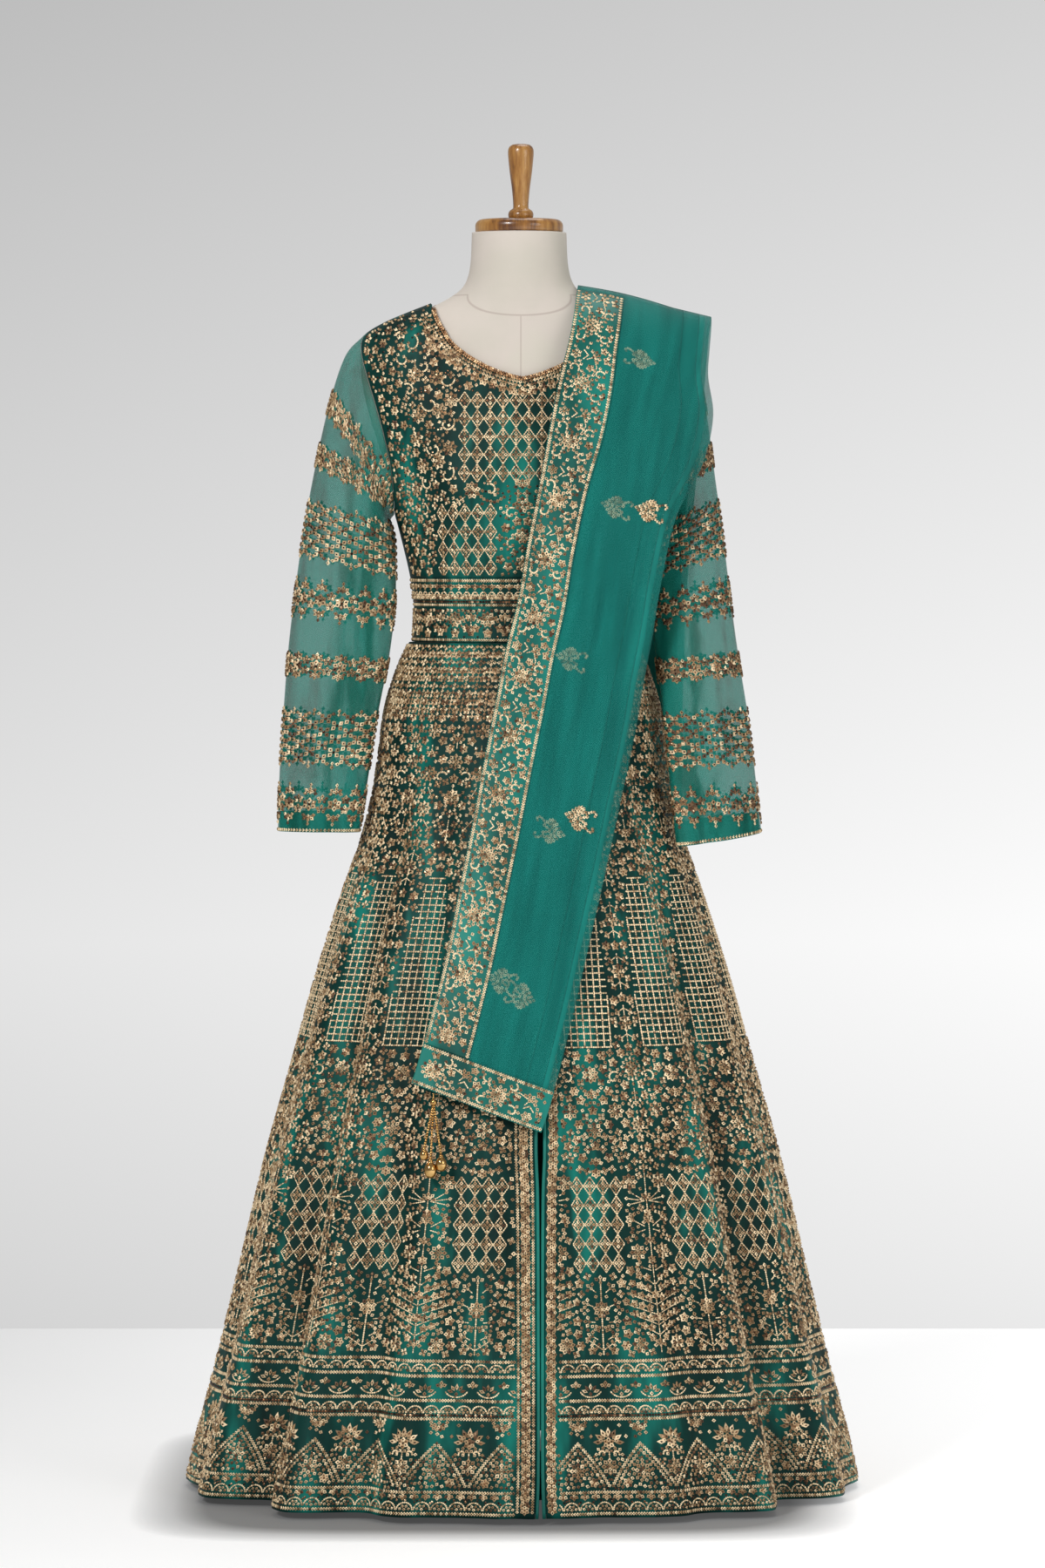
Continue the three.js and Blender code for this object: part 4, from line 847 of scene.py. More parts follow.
# %% [markdown]
# A pattern is drawn flat, as the embroiderer draws it: half of one repeat, in millimetres, with motifs built
# from the four stitches. The other half is its mirror image. Where the work is dense, the space that the motifs
# leave is filled with flowers and loops that keep clear of everything drawn before.

# %% Drawing motifs
LOOP_LONG, LOOP_WIDE = 5.2, 4.7
# a stitch covers this share of its longer side, as a radius
COVERS = 0.42
# what fill sets down, biggest first: what it is, its radius, and the pitch of the places tried
FILLINGS = [("flowers", 6.1, 4.0), ("flowers", 4.3, 3.2), ("loops", 2.35, 2.1), ("crumbs", 1.3, 1.9)]


class Pattern:
    """Half of one repeat. half(y) is its width, and a stitch is kind, share of the width, y, turn, length, width."""

    def __init__(self, half):
        self.half = half if callable(half) else lambda y: half
        self.rows = []

    def add(self, kind, x, y, turn=0.0, length=LOOP_LONG, width=LOOP_WIDE, far=False):
        share = x / float(self.half(y))
        if far:
            share, turn = 1 - share, math.pi - turn
        if -0.001 <= share <= 1.001:
            self.rows.append((kind, share, y, turn, length, width))

    def ring(self, x, y, radius, count, start=math.pi / 2, length=LOOP_LONG, width=LOOP_WIDE, far=False):
        for i in range(count):
            turn = start + 2 * math.pi * i / count
            self.add(PETAL, x + radius * math.cos(turn), y + radius * math.sin(turn), turn, length, width, far)

    def flower(self, x, y, size=1.0, petals=5, start=math.pi / 2, far=False):
        self.ring(x, y, 3.5 * size, petals, start, 5.9 * size, 5.0 * size, far)
        self.add(SEQUIN, x, y, 0, 3.2 * size, 3.2 * size, far)

    def rosette(self, x, y, petals=8, start=math.pi / 2, far=False):
        self.ring(x, y, 7.1, petals, start, 6.6, 5.6, far)
        self.ring(x, y, 2.9, 4, start, 5.4, 4.8, far)

    def line(self, points, far=False, pitch=2.5, width=1.7, kind=STITCH, length=None, cross=None):
        """Stitches along a line. With cross they are loops or links, each that wide."""
        points = np.array(points, float)
        gaps = np.hypot(*np.diff(points, axis=0).T)
        along = np.r_[0, np.cumsum(gaps)]
        count = max(int(round(along[-1] / pitch)), 1)
        at = (np.arange(count) + 0.5) / count * along[-1]
        x, y = np.interp(at, along, points[:, 0]), np.interp(at, along, points[:, 1])
        ahead = np.minimum(at + 0.5, along[-1])
        back = np.maximum(at - 0.5, 0)
        turn = np.arctan2(np.interp(ahead, along, points[:, 1]) - np.interp(back, along, points[:, 1]),
                          np.interp(ahead, along, points[:, 0]) - np.interp(back, along, points[:, 0]))
        for xi, yi, ti in zip(x, y, turn):
            self.add(kind, xi, yi, ti, length or pitch * 1.35, cross or width, far)

    def loops(self, points, far=False, pitch=4.6, cross=LOOP_WIDE):
        self.line(points, far, pitch, kind=PETAL, length=pitch * 1.12, cross=cross)

    def chain(self, points, far=False, cross=4.6):
        self.line(points, far, 3.2, kind=LINK, length=3.9, cross=cross)

    def chain_across(self, y, cross=4.6):
        self.chain([(0, y), (float(self.half(y)), y)], cross=cross)

    def fan(self, x, y, turn, count=5, reach=6.5, spread=2.2, far=False, stem=0.0):
        """Loops that open like a hand at the end of a stem."""
        c, s = math.cos(turn), math.sin(turn)
        if stem:
            self.line([(x - c * stem, y - s * stem), (x, y)], far)
        for i in range(count):
            a = turn + spread * (i / (count - 1) - 0.5)
            self.add(PETAL, x + reach * math.cos(a), y + reach * math.sin(a), a, 6.0, 4.8, far)
        for i in range(count - 2 if count > 4 else 0):
            a = turn + 0.8 * spread * ((i + 0.5) / (count - 2) - 0.5)
            self.add(PETAL, x + 0.45 * reach * math.cos(a), y + 0.45 * reach * math.sin(a), a, 4.8, 4.4, far)
        self.add(PETAL, x, y, turn, 4.6, 4.0, far)

    def sprig(self, x, y, turn, long=14.0, pairs=2, far=False):
        """A stem with a loop at its tip and pairs of loops along it."""
        c, s = math.cos(turn), math.sin(turn)
        self.line([(x, y), (x + c * long, y + s * long)], far)
        self.add(PETAL, x + c * (long + 2), y + s * (long + 2), turn, 5.2, 4.2, far)
        for i in range(pairs):
            at = long * (i + 0.9) / pairs - 1.5
            for side in (1, -1):
                a = turn + side * 0.9
                px, py = x + c * at + 3.4 * math.cos(a), y + s * at + 3.4 * math.sin(a)
                self.add(PETAL, px, py, a, 5.0, 3.9, far)

    def curl(self, x, y, size, turn, hand=1, far=False):
        """A scroll: a cord that winds in to a loop, with loops on its back."""
        t = np.linspace(0, 1, 16)
        bend = turn + hand * (t * 4.4)
        radius = size * (1 - 0.72 * t)
        cord = np.stack([x + radius * np.cos(bend), y + radius * np.sin(bend)], -1)
        self.line(cord, far, 2.0, 2.9)
        self.add(PETAL, *cord[-1], bend[-1], 4.8, 4.6, far)
        for i in (1, 4, 7, 10):
            out = cord[i] + 3.4 * np.array([math.cos(bend[i]), math.sin(bend[i])])
            self.add(PETAL, *out, bend[i], 5.0, 4.4, far)

    def diamond(self, x, y, wide, tall, far=False):
        ring = [(x + wide, y), (x, y + tall), (x - wide, y), (x, y - tall), (x + wide, y)]
        for a, b in zip(ring, ring[1:]):
            self.line([a, b], far, 2.7, 1.8)
        self.ring(x, y, 3.2, 4, math.pi / 2, 5.6, 4.8, far)
        for side in (1, -1):
            self.add(PETAL, x, y + side * 7.0, 0, 3.6, 3.6, far)

    def lattice(self, columns, rows, pitch=(15.4, 21.6), far=False, keep=lambda x, y: True):
        """Rows of filled diamonds that touch at their points, so open diamonds stay between them."""
        for y in rows:
            for x in columns:
                if keep(x, y):
                    self.diamond(x, y, pitch[0] / 2 - 0.3, pitch[1] / 2 - 0.3, far)

    def arches(self, y, count, tall, filled=True):
        """A row of count half rounds over the half repeat, with loops in them."""
        step = float(self.half(y)) / count
        for i in range(count):
            x = (i + 0.5) * step
            turns = np.linspace(0.05, 3.09, 11)
            bow = [(x + step * 0.47 * math.cos(a), y + tall * math.sin(a)) for a in turns]
            self.line(bow, pitch=2.2, width=2.4)
            for j in range(4):
                a = 0.4 + j * 0.78
                place = x + step * 0.28 * math.cos(a), y + tall * 0.58 * math.sin(a)
                self.add(PETAL, *place, a, 4.2, 3.8)
            if filled:
                self.add(PETAL, x, y + tall * 0.15, 0, 4.6, 3.8)

    def covered(self):
        """The places already sewn: x, y and radius."""
        rows = [(r[1] * float(self.half(r[2])), r[2], COVERS * max(r[4], r[5])) for r in self.rows]
        return np.array(rows or [(0, -1e6, 0)])

    def fill(self, low, high, keep=lambda x, y: True, gap=0.0, **shares):
        """Fills the room that is left. shares says how much of the places found for each thing it gets."""
        for what, radius, pitch in FILLINGS:
            taken = self.covered()
            widest = max(float(self.half(low)), float(self.half(high)))
            gx, gy = np.meshgrid(np.arange(0, widest, pitch), np.arange(low + radius, high - radius + 0.1, pitch))
            gx = (gx + rng.uniform(-0.5, 0.5, gx.shape) * pitch).ravel()
            gy = (gy + rng.uniform(-0.5, 0.5, gy.shape) * pitch).ravel()
            for k in rng.permutation(len(gx)):
                x, y = abs(gx[k]), gy[k]
                half = float(self.half(y))
                if x < radius:
                    x = 0.0 if x < radius / 2 else radius
                if half - radius < x:
                    x = half if x > half - radius / 2 else half - radius
                if x > half or not keep(x, y):
                    continue
                if (np.hypot(taken[:, 0] - x, taken[:, 1] - y) < taken[:, 2] + radius + gap).any():
                    continue
                taken = np.vstack([taken, (x, y, radius)])
                if rng.random() > shares[what]:
                    continue
                far = x > half - 0.01
                at = 0.0 if far else x
                turn = math.pi / 2 if x in (0.0, half) else rng.uniform(0, 6.3)
                if radius > 5:
                    self.flower(at, y, 1.0, 6 if rng.random() < 0.4 else 5, turn, far)
                elif radius > 4:
                    self.flower(at, y, 0.8, 4, turn, far)
                elif radius > 2:
                    self.add(PETAL, at, y, turn, 5.2, 4.6, far)
                else:
                    self.add(SEQUIN, at, y, turn, 3.0, 3.0, far)

    def table(self):
        """All stitches as an array, with the mirror image: kind, side, share, y, turn, length, width."""
        rows = np.array(self.rows)
        right = np.insert(rows, 1, 1, axis=1)
        on_axis = (rows[:, 1] < 0.003) | (rows[:, 1] > 0.997)
        left = right[~on_axis].copy()
        left[:, 1] = -1
        left[:, 4] = math.pi - left[:, 4]
        return np.vstack([right, left])


# %% [markdown]
# To put a flat pattern on the gown, the cloth's surface is sampled once as a fine grid of points and normals.
# Each corner of each stitch is then looked up in that grid, so even a long stitch bends with the cloth.

# %% Laying stitches on cloth
STITCH_LIFT = 0.15


class Ground:
    """A sampled surface: u runs along its columns and v along its rows, both in the units of the given spans."""

    def __init__(self, points, u_span, v_span, inside=None):
        self.points, self.u_span, self.v_span = points, u_span, v_span
        across, up = np.gradient(points, axis=1), np.gradient(points, axis=0)
        normals = np.cross(across, up)
        self.normals = normals / np.maximum(np.linalg.norm(normals, axis=-1, keepdims=True), 1e-9)
        self.hand = outward_sign(points, axis_of(points) if inside is None else inside)
        self.normals *= self.hand
        steps_u = (u_span[1] - u_span[0]) / (points.shape[1] - 1)
        steps_v = (v_span[1] - v_span[0]) / (points.shape[0] - 1)
        wide, tall = np.linalg.norm(across, axis=-1), np.linalg.norm(up, axis=-1)
        self.scale = np.stack([wide / abs(steps_u), tall / abs(steps_v)], -1)

    def read(self, field, u, v):
        rows, columns = field.shape[:2]
        i = np.clip((u - self.u_span[0]) / (self.u_span[1] - self.u_span[0]) * (columns - 1), 0, columns - 1.001)
        j = np.clip((v - self.v_span[0]) / (self.v_span[1] - self.v_span[0]) * (rows - 1), 0, rows - 1.001)
        i0, j0 = i.astype(int), j.astype(int)
        a, b = (i - i0)[..., None], (j - j0)[..., None]
        low = field[j0, i0] * (1 - a) + field[j0, i0 + 1] * a
        high = field[j0 + 1, i0] * (1 - a) + field[j0 + 1, i0 + 1] * a
        return low * (1 - b) + high * b


class Needlework:
    """Collects the stitches of one piece as arrays, and makes its mesh."""

    def __init__(self, name):
        self.name, self.count = name, 0
        self.points, self.faces, self.finish, self.tone = [], [], [], []

    def sew(self, ground, kind, u, v, turn, length, width, tone=0.0, rise=1.0):
        """Sews stitches of one kind. tone makes them paler, and rise is how far they stand up."""
        corners, faces, inner = SHAPES[kind]
        u, v, turn, length, width = (np.asarray(a, float)[:, None] for a in (u, v, turn, length, width))
        if not len(u):
            return
        x, y = corners[:, 0] * length / 2, corners[:, 1] * width / 2
        c, s = np.cos(turn), np.sin(turn)
        scale = ground.read(ground.scale, u[:, 0], v[:, 0])[:, None, :]
        along, up = u + (x * c - y * s) / scale[..., 0], v + (x * s + y * c) / scale[..., 1]
        high = (corners[:, 2] * HEIGHTS[kind] + STITCH_LIFT) * rise
        place = ground.read(ground.points, along, up) + ground.read(ground.normals, along, up) * high[:, None]
        count = len(u)
        order = faces if ground.hand > 0 else faces[:, ::-1]
        first = self.count + np.arange(count) * len(corners)
        self.faces.append((order[None] + first[:, None, None]).reshape(-1, 3))
        self.points.append(place.reshape(-1, 3))
        shiny = np.maximum(inner, kind == SEQUIN)
        self.finish.append(np.tile(shiny, count))
        bright = np.clip(rng.normal(0.5 + tone + PALER[kind], TONE_SPREAD, count), 0, 1)
        dish = rng.random(count) ** DARK_DISHES
        self.tone.append(np.where(shiny[None] > 0, dish[:, None], bright[:, None]).ravel())
        self.count += count * len(corners)

    def sew_rows(self, ground, kind, u, v, turn, length, width, inside=True, **looks):
        """Sews stitches of mixed kinds, one kind after the other."""
        for which in SHAPES:
            pick = inside & (kind == which)
            self.sew(ground, which, *(column[pick] for column in (u, v, turn, length, width)), **looks)

    def lay(self, ground, table, at_u, clear, tone=0.0):
        """Sews a pattern's table where clear says so. at_u(side, share) turns its places into the ground's."""
        kind, side, share, v, turn, length, width = table.T
        u = at_u(side, share)
        low_u, high_u = ground.u_span
        low_v, high_v = ground.v_span
        inside = (u > low_u) & (u < high_u) & (v > low_v) & (v < high_v) & clear(u, v)
        self.sew_rows(ground, kind, u, v, turn, length, width, inside, tone=tone)

    def make(self, slot="beads"):
        points, faces = np.vstack(self.points) * MM, np.vstack(self.faces)
        mesh = bpy.data.meshes.new(self.name)
        mesh.vertices.add(len(points))
        mesh.vertices.foreach_set("co", points.astype(np.float32).ravel())
        mesh.loops.add(faces.size)
        mesh.loops.foreach_set("vertex_index", faces.astype(np.int32).ravel())
        mesh.polygons.add(len(faces))
        mesh.polygons.foreach_set("loop_start", np.arange(0, faces.size, 3, dtype=np.int32))
        thing = new_object(self.name, mesh, thread, sequin)
        mesh.polygons.foreach_set("material_index", np.concatenate(self.finish).astype(np.int32))
        tones = mesh.attributes.new("tone", "FLOAT", "FACE").data
        tones.foreach_set("value", np.concatenate(self.tone).astype(np.float32))
        mesh.update(calc_edges=True)
        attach(thing, "root")
        print(f"{self.name}: {len(faces)} triangles")
        return thing


# %% [markdown]
# The skirt carries eight repeats on each half, from the slit to the seam at the back. Flowering trees stand on
# the axes of the repeats and lattice panels lie between them. Near the waist the repeat is narrow and its rows
# of flowers run together. Above the hem come bands of chain, small arches and crescents of petals, and then
# bouquets between tall pointed arches.

# %% The skirt's ground
REPEATS, COLUMNS_A_REPEAT, BORDER_START_AT = 8, 44, 1.2
fine_z = np.linspace(HEM_Z + 0.5, WAIST_SEAM_Z - 1, 170)[:, None]


def half_skirt(side):
    """Columns evenly spaced by arc length, from the slit's edge to the back seam."""
    start = slit_angle(fine_z, side * (slit_half(fine_z) + EDGING_WIDE + BORDER_START_AT))
    angle = start + (side * math.pi - start) * np.linspace(0, 1, 700)[None, :]
    along = lengths_along(skirt_fine(angle, fine_z), 1)
    share = np.linspace(0, 1, REPEATS * COLUMNS_A_REPEAT + 1)
    even = np.array([np.interp(share * row[-1], row, turn) for row, turn in zip(along, angle)])
    return skirt_fine(even, fine_z), along[:, -1]


skirt_grounds = {}
for side in (1, -1):
    points, around = half_skirt(side)
    skirt_grounds[side] = Ground(points, (0, REPEATS), (fine_z[0, 0], fine_z[-1, 0])), around
repeat_half = lambda z: np.interp(z, fine_z[:, 0], skirt_grounds[1][1]) / REPEATS / 2
print("half a repeat at the waist and the hem:", repeat_half(np.array([1000, 10])).round(1), "mm")

# %% Drawing the skirt's repeat
skirt = Pattern(repeat_half)
UP, DOWN = math.pi / 2, -math.pi / 2
# rows of small flowers under the waist
for row, z in enumerate(np.arange(1016.5, 928, -9.4)):
    half = float(repeat_half(z))
    for place in (0.25, 0.75):
        if row in (0, 2, 5):
            skirt.loops([(half * (place - 0.2), z), (half * (place + 0.2), z)], pitch=4.8)
        else:
            skirt.flower(half * place, z, 0.86 + 0.06 * (row % 2), 5 + row % 2, UP)
middle_loops = [(float(repeat_half(z)) / 2, z) for z in range(1016, 929, -6)]
for points, far in (([(0, 1016), (0, 930)], False), ([(0, 1016), (0, 934)], True), (middle_loops, False)):
    skirt.loops(points, far, pitch=4.6, cross=4.6)
# rosettes and fans over the lattice
skirt.rosette(0, 917)
skirt.fan(0, 893, DOWN, 5, 6.2, 2.4, stem=7)
skirt.rosette(0, 866, 9)
skirt.sprig(2, 850, -1.1, 12, 2)
skirt.rosette(0, 824, 9)
skirt.sprig(3, 812, -0.9, 14, 2)
skirt.fan(0, 905, UP, 5, 7.5, 2.6, far=True, stem=9)
skirt.rosette(0, 880, 8, far=True)
skirt.curl(15, 862, 7.5, 0.4, 1)
skirt.loops([(16, 846), (24, 838), (27, 824), (22, 812), (14, 808)])
skirt.rosette(0, 838, 10, far=True)
skirt.fan(0, 800, DOWN, 7, 7.5, 3.0, far=True, stem=12)
# square lattice that narrows upwards, with sequins on its crossings
SQUARE = 7.8
arch_z = np.array([548, 620, 690, 730, 746])
arch_half = np.array([29, 27, 21, 14, 9])
inside_arch = lambda d, z: 548 <= z <= 746 and abs(d) < np.interp(z, arch_z, arch_half)
for i in range(4):
    d = (i + 0.5) * SQUARE
    top = max([z for z in np.arange(548, 746, 2.0) if inside_arch(d, z)], default=0)
    if top:
        skirt.line([(d, 548), (d, top)], far=True, pitch=2.6, width=2.3)
for j in range(26):
    z = 548 + j * SQUARE
    reach = float(np.interp(z, arch_z, arch_half))
    if z < 748:
        skirt.line([(0, z), (reach, z)], far=True, pitch=2.6, width=2.3)
    for i in range(4):
        if inside_arch((i + 0.5) * SQUARE, z):
            skirt.add(SEQUIN, (i + 0.5) * SQUARE, z, 0, 3.6, 3.6, far=True)
# the flower column between two lattices
for j, z in enumerate(np.arange(785, 560, -30)):
    (skirt.rosette if j % 2 else skirt.flower)(0, z)
    skirt.line([(0, z - 9), (0, z - 21)])
    skirt.sprig(1, z - 13, -0.5, 9, 1)
# the dense band of big flowers
skirt.rosette(0, 522, 10)
skirt.ring(0, 522, 12.3, 14)
skirt.rosette(0, 516, 10, far=True)
skirt.fan(0, 498, DOWN, 7, 8, 3.0, far=True)
skirt.curl(24, 512, 8.5, 2.4, -1)
skirt.rosette(27, 474, 8)
skirt.sprig(0, 500, DOWN, 17, 3)
skirt.rosette(0, 458, 9)
skirt.rosette(0, 452, 8, far=True)
skirt.sprig(6, 450, -0.5, 14, 2)
# the diamond lattice
LATTICE_TOP, LATTICE_ROWS = 388, 5
lattice_rows = [LATTICE_TOP - 22.2 * j for j in range(LATTICE_ROWS)]
skirt.lattice([7.7, 23.1], lattice_rows, (15.4, 22.2), far=True)
skirt.fan(0, 412, UP, 5, 6.5, 2.4, far=True)
# the tree
skirt.line([(0, 412), (0, 196)], width=1.7)
for z in (356, 302, 262, 236):
    skirt.flower(0, z, 1.0, 6)
skirt.fan(0, 404, UP, 3, 6, 1.6)
skirt.rosette(20, 392, 8)
skirt.fan(0, 372, UP, 5, 6.5, 3.2)
for lean, reach in ((0.55, 17), (0.15, 19), (-0.2, 17)):
    skirt.line([(3, 370), (3 + reach * math.cos(lean), 370 + reach * math.sin(lean))])
    skirt.add(PETAL, 3 + (reach + 3) * math.cos(lean), 370 + (reach + 3) * math.sin(lean), lean, 5.6, 4.4)
skirt.fan(0, 345, UP, 5, 6.5, 3.0)
skirt.fan(19, 348, 0.5, 5, 7, 2.6, stem=15)
skirt.fan(15, 334, -0.3, 4, 7, 1.9, stem=10)
skirt.rosette(17, 311, 8)
skirt.fan(0, 322, UP, 5, 6, 3.4)
skirt.fan(14, 294, 0.35, 4, 6, 1.8, stem=12)
for j, reach in enumerate((17, 25, 31, 35, 30, 22, 12)):
    z = 282 - 11.5 * j
    for i in range(int(reach / 8.2)):
        skirt.flower(9 + i * 9.2, z + 2.5 * i, 0.82, 5, UP + 0.4 * i)
    skirt.line([(1, z - 8), (reach, z + 4)])
    skirt.add(PETAL, reach + 2, z + 5, 0.4, 5.6, 4.4)
skirt.rosette(25, 205, 9)
skirt.fan(0, 204, UP, 5, 6.5, 3.0)
# the small tree below the lattice
skirt.line([(0, 283), (0, 194)], far=True, width=2.2)
skirt.fan(0, 277, UP, 3, 6, 1.8, far=True)
skirt.rosette(0, 246, 9, far=True)
for d, z, turn in ((11, 270, 0.7), (16, 252, 0.4), (15, 232, 0.1), (12, 215, 0.5)):
    skirt.fan(d, z, turn, 3, 5, 2.2, far=True, stem=7)
skirt.sprig(1, 200, 0.6, 20, 3, far=True)
skirt.flower(13, 199, 0.9, 5, far=True)

# %% The bands above the hem
for z in (187, 170, 142, 121, 37, 12.5):
    skirt.chain_across(z)
skirt.arches(174, 4, 9.5, filled=False)
for place in (0.25, 0.75):
    x = float(repeat_half(155)) * place
    # separate petals stand up out of a shallow crescent
    for lean in (-1.2, -0.62, 0, 0.62, 1.2):
        skirt.add(PETAL, x + 7.6 * math.sin(lean), 150 + 7.6 * math.cos(lean), UP - lean, 8.0, 4.3)
    skirt.add(PETAL, x, 149.5, UP, 5.6, 4.8)
    bow = np.linspace(-1.1, 1.1, 11)
    skirt.line([(x + 14 * math.sin(b), 145.8 + 12 * (1 - math.cos(b))) for b in bow], width=2.2)
for x, far in ((0, False), (0, True), (float(repeat_half(155)) / 2, False)):
    skirt.fan(x, 158, UP, 3, 4, 2.4, far=far)
skirt.arches(127, 4, 9)
skirt.line([(0, 125), (float(repeat_half(125)), 125)], kind=SEQUIN, pitch=3.4, length=3.8, cross=3.6)
hem_half = float(repeat_half(70))
for a in np.linspace(0, -math.pi, 8):
    skirt.add(PETAL, hem_half / 2 + 9 * math.cos(a), 117 + 8.6 * math.sin(a), a)
for a in np.linspace(-0.35, 0.35 - math.pi, 5):
    skirt.add(PETAL, hem_half / 2 + 5 * math.cos(a), 116 + 4.6 * math.sin(a), a)
skirt.add(PETAL, hem_half / 2, 116.5, DOWN)
for far in (False, True):
    # a bouquet: pointed leaves round one flower, and a curl on each side of its stem
    skirt.flower(0, 93, 1.15, 6, UP, far)
    for lean in (0, 0.5, 1.0, 1.5):
        skirt.add(PETAL, 13 * math.sin(lean), 93 + 13 * math.cos(lean), UP - lean, 11.0, 5.4, far)
    for lean in (0.25, 0.75, 1.25):
        skirt.add(PETAL, 9.5 * math.sin(lean), 93 + 9.5 * math.cos(lean), UP - lean, 6.4, 4.4, far)
    skirt.line([(0, 84), (0, 74)], far, width=2.2)
    skirt.curl(7.5, 81, 4.6, -0.4, 1, far)
for shift, which in ((0, "chain"), (5.2, "loops")):
    peak, foot = 93 - 1.5 * shift, 43
    spread = hem_half / 2 - 1.2 * shift
    # each side swells out a little before it meets the point
    rise = np.linspace(0, 1, 9)
    swell = spread * (1 - rise) + 2.6 * np.sin(math.pi * rise)
    climb = foot + (peak - foot) * rise
    arch = [*zip(hem_half / 2 - swell, climb), *zip(hem_half / 2 + swell[-2::-1], climb[-2::-1])]
    getattr(skirt, which)(arch)
skirt.rosette(hem_half / 2, 62, 8)
skirt.ring(hem_half / 2, 62, 11.6, 13)
skirt.rosette(0, 66, 8)
skirt.rosette(0, 66, 8, far=True)
for i in range(6):
    x = float(repeat_half(30)) * (i + 0.5) / 6
    skirt.fan(x, 33.5, DOWN, 3, 3.2, 2.2)
skirt.arches(16, 4, 9.5)

# %% Filling between the skirt's motifs
outside_panels = lambda x, z: not (
    (z < 750 and z > 546 and float(repeat_half(z)) - x < float(np.interp(z, arch_z, arch_half)) + 3)
    or (285 < z < 402 and float(repeat_half(z)) - x < 34)
)
skirt.fill(928, 1016, flowers=0.0, loops=0.35, crumbs=0.1)
skirt.fill(412, 928, outside_panels, flowers=0.93, loops=0.6, crumbs=0.0)
skirt.fill(192, 412, outside_panels, flowers=0.85, loops=0.6, crumbs=0.0, gap=0.2)
skirt.fill(96, 119, flowers=0.0, loops=0.1, crumbs=0.0, gap=0.5)
inside_point = lambda x, z: abs(x - hem_half / 2) < (93 - z) * 0.73 or z < 78
skirt.fill(40, 96, inside_point, flowers=0.4, loops=0.75, crumbs=0.4)
skirt.fill(14, 35, flowers=0.0, loops=0.0, crumbs=0.6)
print("stitches in half a repeat:", len(skirt.rows))

# %% The slit's border, in mm from its edge. The right panel laps over, so its border is the broad one.
HIGH_Z = 1014
SLIT_BORDERS = {1: 13.0, -1: 23.0}


def slit_border(side):
    """A row of flowers with loops on both sides; on the right panel a chain edges it on each side."""
    slit = Pattern(SLIT_BORDERS[side])
    middle = 11.3 if side < 0 else 6.6
    if side < 0:
        for x in (2.4, 20.2):
            slit.chain([(x, 14), (x, HIGH_Z)], cross=4.2)
    for z in np.arange(18, HIGH_Z - 4, 9.6):
        slit.flower(middle, z, 0.98, 6, UP)
        for hand in (1, -1):
            slit.add(PETAL, middle + hand * 4.6, z + 4.8, UP, 5.0, 4.2)
        slit.add(SEQUIN, middle, z + 4.8, 0, 3.6, 3.6)
    return np.array(slit.rows)


cell = skirt.table()
for side, (ground, around) in skirt_grounds.items():
    hand = "left" if side > 0 else "right"
    border_wide, border_rows = SLIT_BORDERS[side], slit_border(side)
    mm_of = lambda u, z: u / REPEATS * np.interp(z, fine_z[:, 0], around)
    front, back = Needlework(f"embroidery_skirt_front_{hand}"), Needlework(f"embroidery_skirt_back_{hand}")
    for k in range(REPEATS + 1):
        place = lambda s, share, k=k: k + s * share / 2
        halves = (
            (front, lambda u, v: (u < REPEATS / 2) & (mm_of(u, v) > border_wide + 1.6)),
            (back, lambda u, v: (u >= REPEATS / 2) & (u < REPEATS - 0.012)),
        )
        for work, clear in halves:
            work.lay(ground, cell, place, clear, tone=0.05 * math.sin(k * 2.3))
    kind, share, v, turn, length, width = border_rows.T
    u = share * border_wide * REPEATS / np.interp(v, fine_z[:, 0], around)
    front.sew_rows(ground, kind, u, v, turn, length, width)
    front.make()
    back.make()

# %% [markdown]
# The bodice is drawn as one front with mirrored halves: a lattice over the bust, scrolls and flowers towards the
# shoulders, a second lattice under the bust, and a border that follows the neckline. The waistband has its own
# narrow rows. The back has one broad lattice, with small flowers past it.

# %% The torso's ground and outline
torso_z = np.linspace(WAIST_SEAM_Z + 1, 1450, 160)[:, None]
REACH = 210


def torso_ground(front):
    angle = np.linspace(-2.4, 2.4, 600)[None, :] + (0 if front else math.pi)
    along = lengths_along(off_form(angle, torso_z) + parted(front), 1)
    middle = along[:, 300:301] / 2 + along[:, 299:300] / 2
    at = np.linspace(-REACH, REACH, 190)
    even = np.array([np.interp(at, row, angle[0]) for row in along - middle])
    points = off_form(even, torso_z) + parted(front)
    return Ground(points, (-REACH, REACH), (torso_z[0, 0], torso_z[-1, 0]))


shares = np.linspace(0, 1, 200)


def outline_test(ground, front):
    """Says which places lie on the panel, a little inside its neckline, shoulder and armhole."""
    top_z = bodice_top(shares, FRONT_NECK_Z if front else BACK_NECK_Z)
    top_x = shares * bodice_edge(top_z)
    order = np.argsort(top_x)

    def test(u, v):
        place = ground.read(ground.points, u, v)
        x = abs(place[..., 0] - curve(FORM, 4, v))
        below = v < np.interp(x, top_x[order], top_z[order]) - 1.6
        sides = bodice_edge(v) + np.where(v > ARMPIT_Z - 6, 1.2, -0.6)
        within = (v <= WAISTBAND_TOP_Z) | (x < sides)
        return below & within & (place[..., 1] < 2 if front else place[..., 1] > -2)

    return test, (top_x[order], top_z[order])


# %% Drawing the bodice
chest = Pattern(REACH)
front_ground, back_ground = torso_ground(True), torso_ground(False)
top_x, top_z = outline_test(front_ground, True)[1]
neck_line = np.array([(x, z) for x, z in zip(top_x, top_z) if x < neck_share * tip_x][::6])
ahead = np.gradient(neck_line, axis=0)
ahead /= np.linalg.norm(ahead, axis=1, keepdims=True)
inward = np.stack([ahead[:, 1], -ahead[:, 0]], -1)
